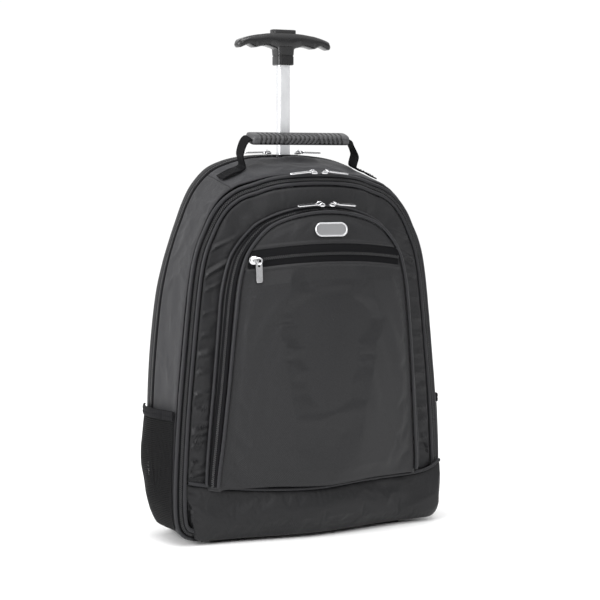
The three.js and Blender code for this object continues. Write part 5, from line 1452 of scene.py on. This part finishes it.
strap = {"width": 62, "thick": 11, "topSpread": 48, "topUp": 432, "padEnd": 168, "endSpread": 98, "standoff": 22,
         "webWidth": 25, "webThick": 2, "buckleLength": 22, "buckleAt": 11.9,
         "overBuckle": 3.55}


def strapCurve(side):
    face, thick = pack["backFace"], strap["thick"]
    top, low = strap["topSpread"], strap["endSpread"]
    return np.array([
        (side * top, face + thick / 2 + 1, strap["topUp"]),
        (side * (top + 6), face + strap["standoff"] * 0.75, strap["topUp"] - 50),
        (side * mix(top, low, 0.35), face + strap["standoff"], 320),
        (side * mix(top, low, 0.75), face + strap["standoff"] * 0.9, 235),
        (side * low, face + strap["standoff"] * 0.65, strap["padEnd"]),
    ])


def strapAxes(along):
    across = unit(np.array([1.0, 0, 0]) - along * along[:, :1])
    return across, unit(np.cross(across, along))


def addStraps():
    for side, name in ((1, "Right"), (-1, "Left")):
        t = np.linspace(0, 1, 120)
        middle, along = alongOpen(strapCurve(side), t)
        across, out = strapAxes(along)
        taper = 1 - 0.35 * share(t, 0.78, 1) - 0.12 * (1 - share(t, 0, 0.2))
        ends = np.minimum(1, 0.45 + 4 * np.minimum(t, 1 - t))
        angle = np.linspace(0, 2 * np.pi, 49)[:-1]
        c, d = np.cos(angle), np.sin(angle)
        wide = np.sign(c) * np.abs(c) ** 0.55 * 0.5
        thick = np.sign(d) * np.abs(d) ** 0.9 * 0.5 * (0.35 + 0.65 * np.sqrt(np.clip(1 - (2 * wide) ** 6, 0, 1)))
        fill = 1 + 0.05 * smoothNoise(middle, 60, 31)
        section = np.stack([wide[None] * (strap["width"] * taper)[:, None],
                            thick[None] * (strap["thick"] * ends * fill)[:, None]], -1)
        pad = piece("shoulderStrap" + name, sweep(middle, across, out, section), finish["air"], "bag",
                    "front_and_top_cloth", ["shoulder_strap_" + name.lower()], sharp=60)
        last, down = middle[-1], along[-1]
        a, o = strapAxes(down[None])
        over = last + down * strap["buckleAt"] + o[0] * strap["overBuckle"]
        upper, lower = (over - down * up * strap["buckleLength"] / 2 for up in (0.8, -1))
        foot = np.array([side * 150.0, pack["backFace"] + 3.2, 92])
        web = np.array([upper, lower, (lower + foot) / 2 + (0, 3, -3), foot])
        place, way = alongOpen(web, np.linspace(0, 1, 60))
        a, o = strapAxes(way)
        flat = np.array([(-0.5, -0.3), (-0.48, -0.5), (0.48, -0.5), (0.5, -0.3),
                         (0.5, 0.3), (0.48, 0.5), (-0.48, 0.5), (-0.5, 0.3)])
        web = sweep(place, a, o, flat * (strap["webWidth"], strap["webThick"]))
        piece("strapWeb" + name, web, finish["webbing"], "bag", "webbing", ["strap_web_" + name.lower()])
    print("shoulder straps made")


addStage()
addBandPanels()
addBase()
addBackShell()
addMainZip()
addRearZip()
addFrontPanel()
addBoot()
addPocket()
addFaceZip()
addLabel()
addSliders()
addNetPockets()
addGrip()
addTee()
addWheels()
addStraps()
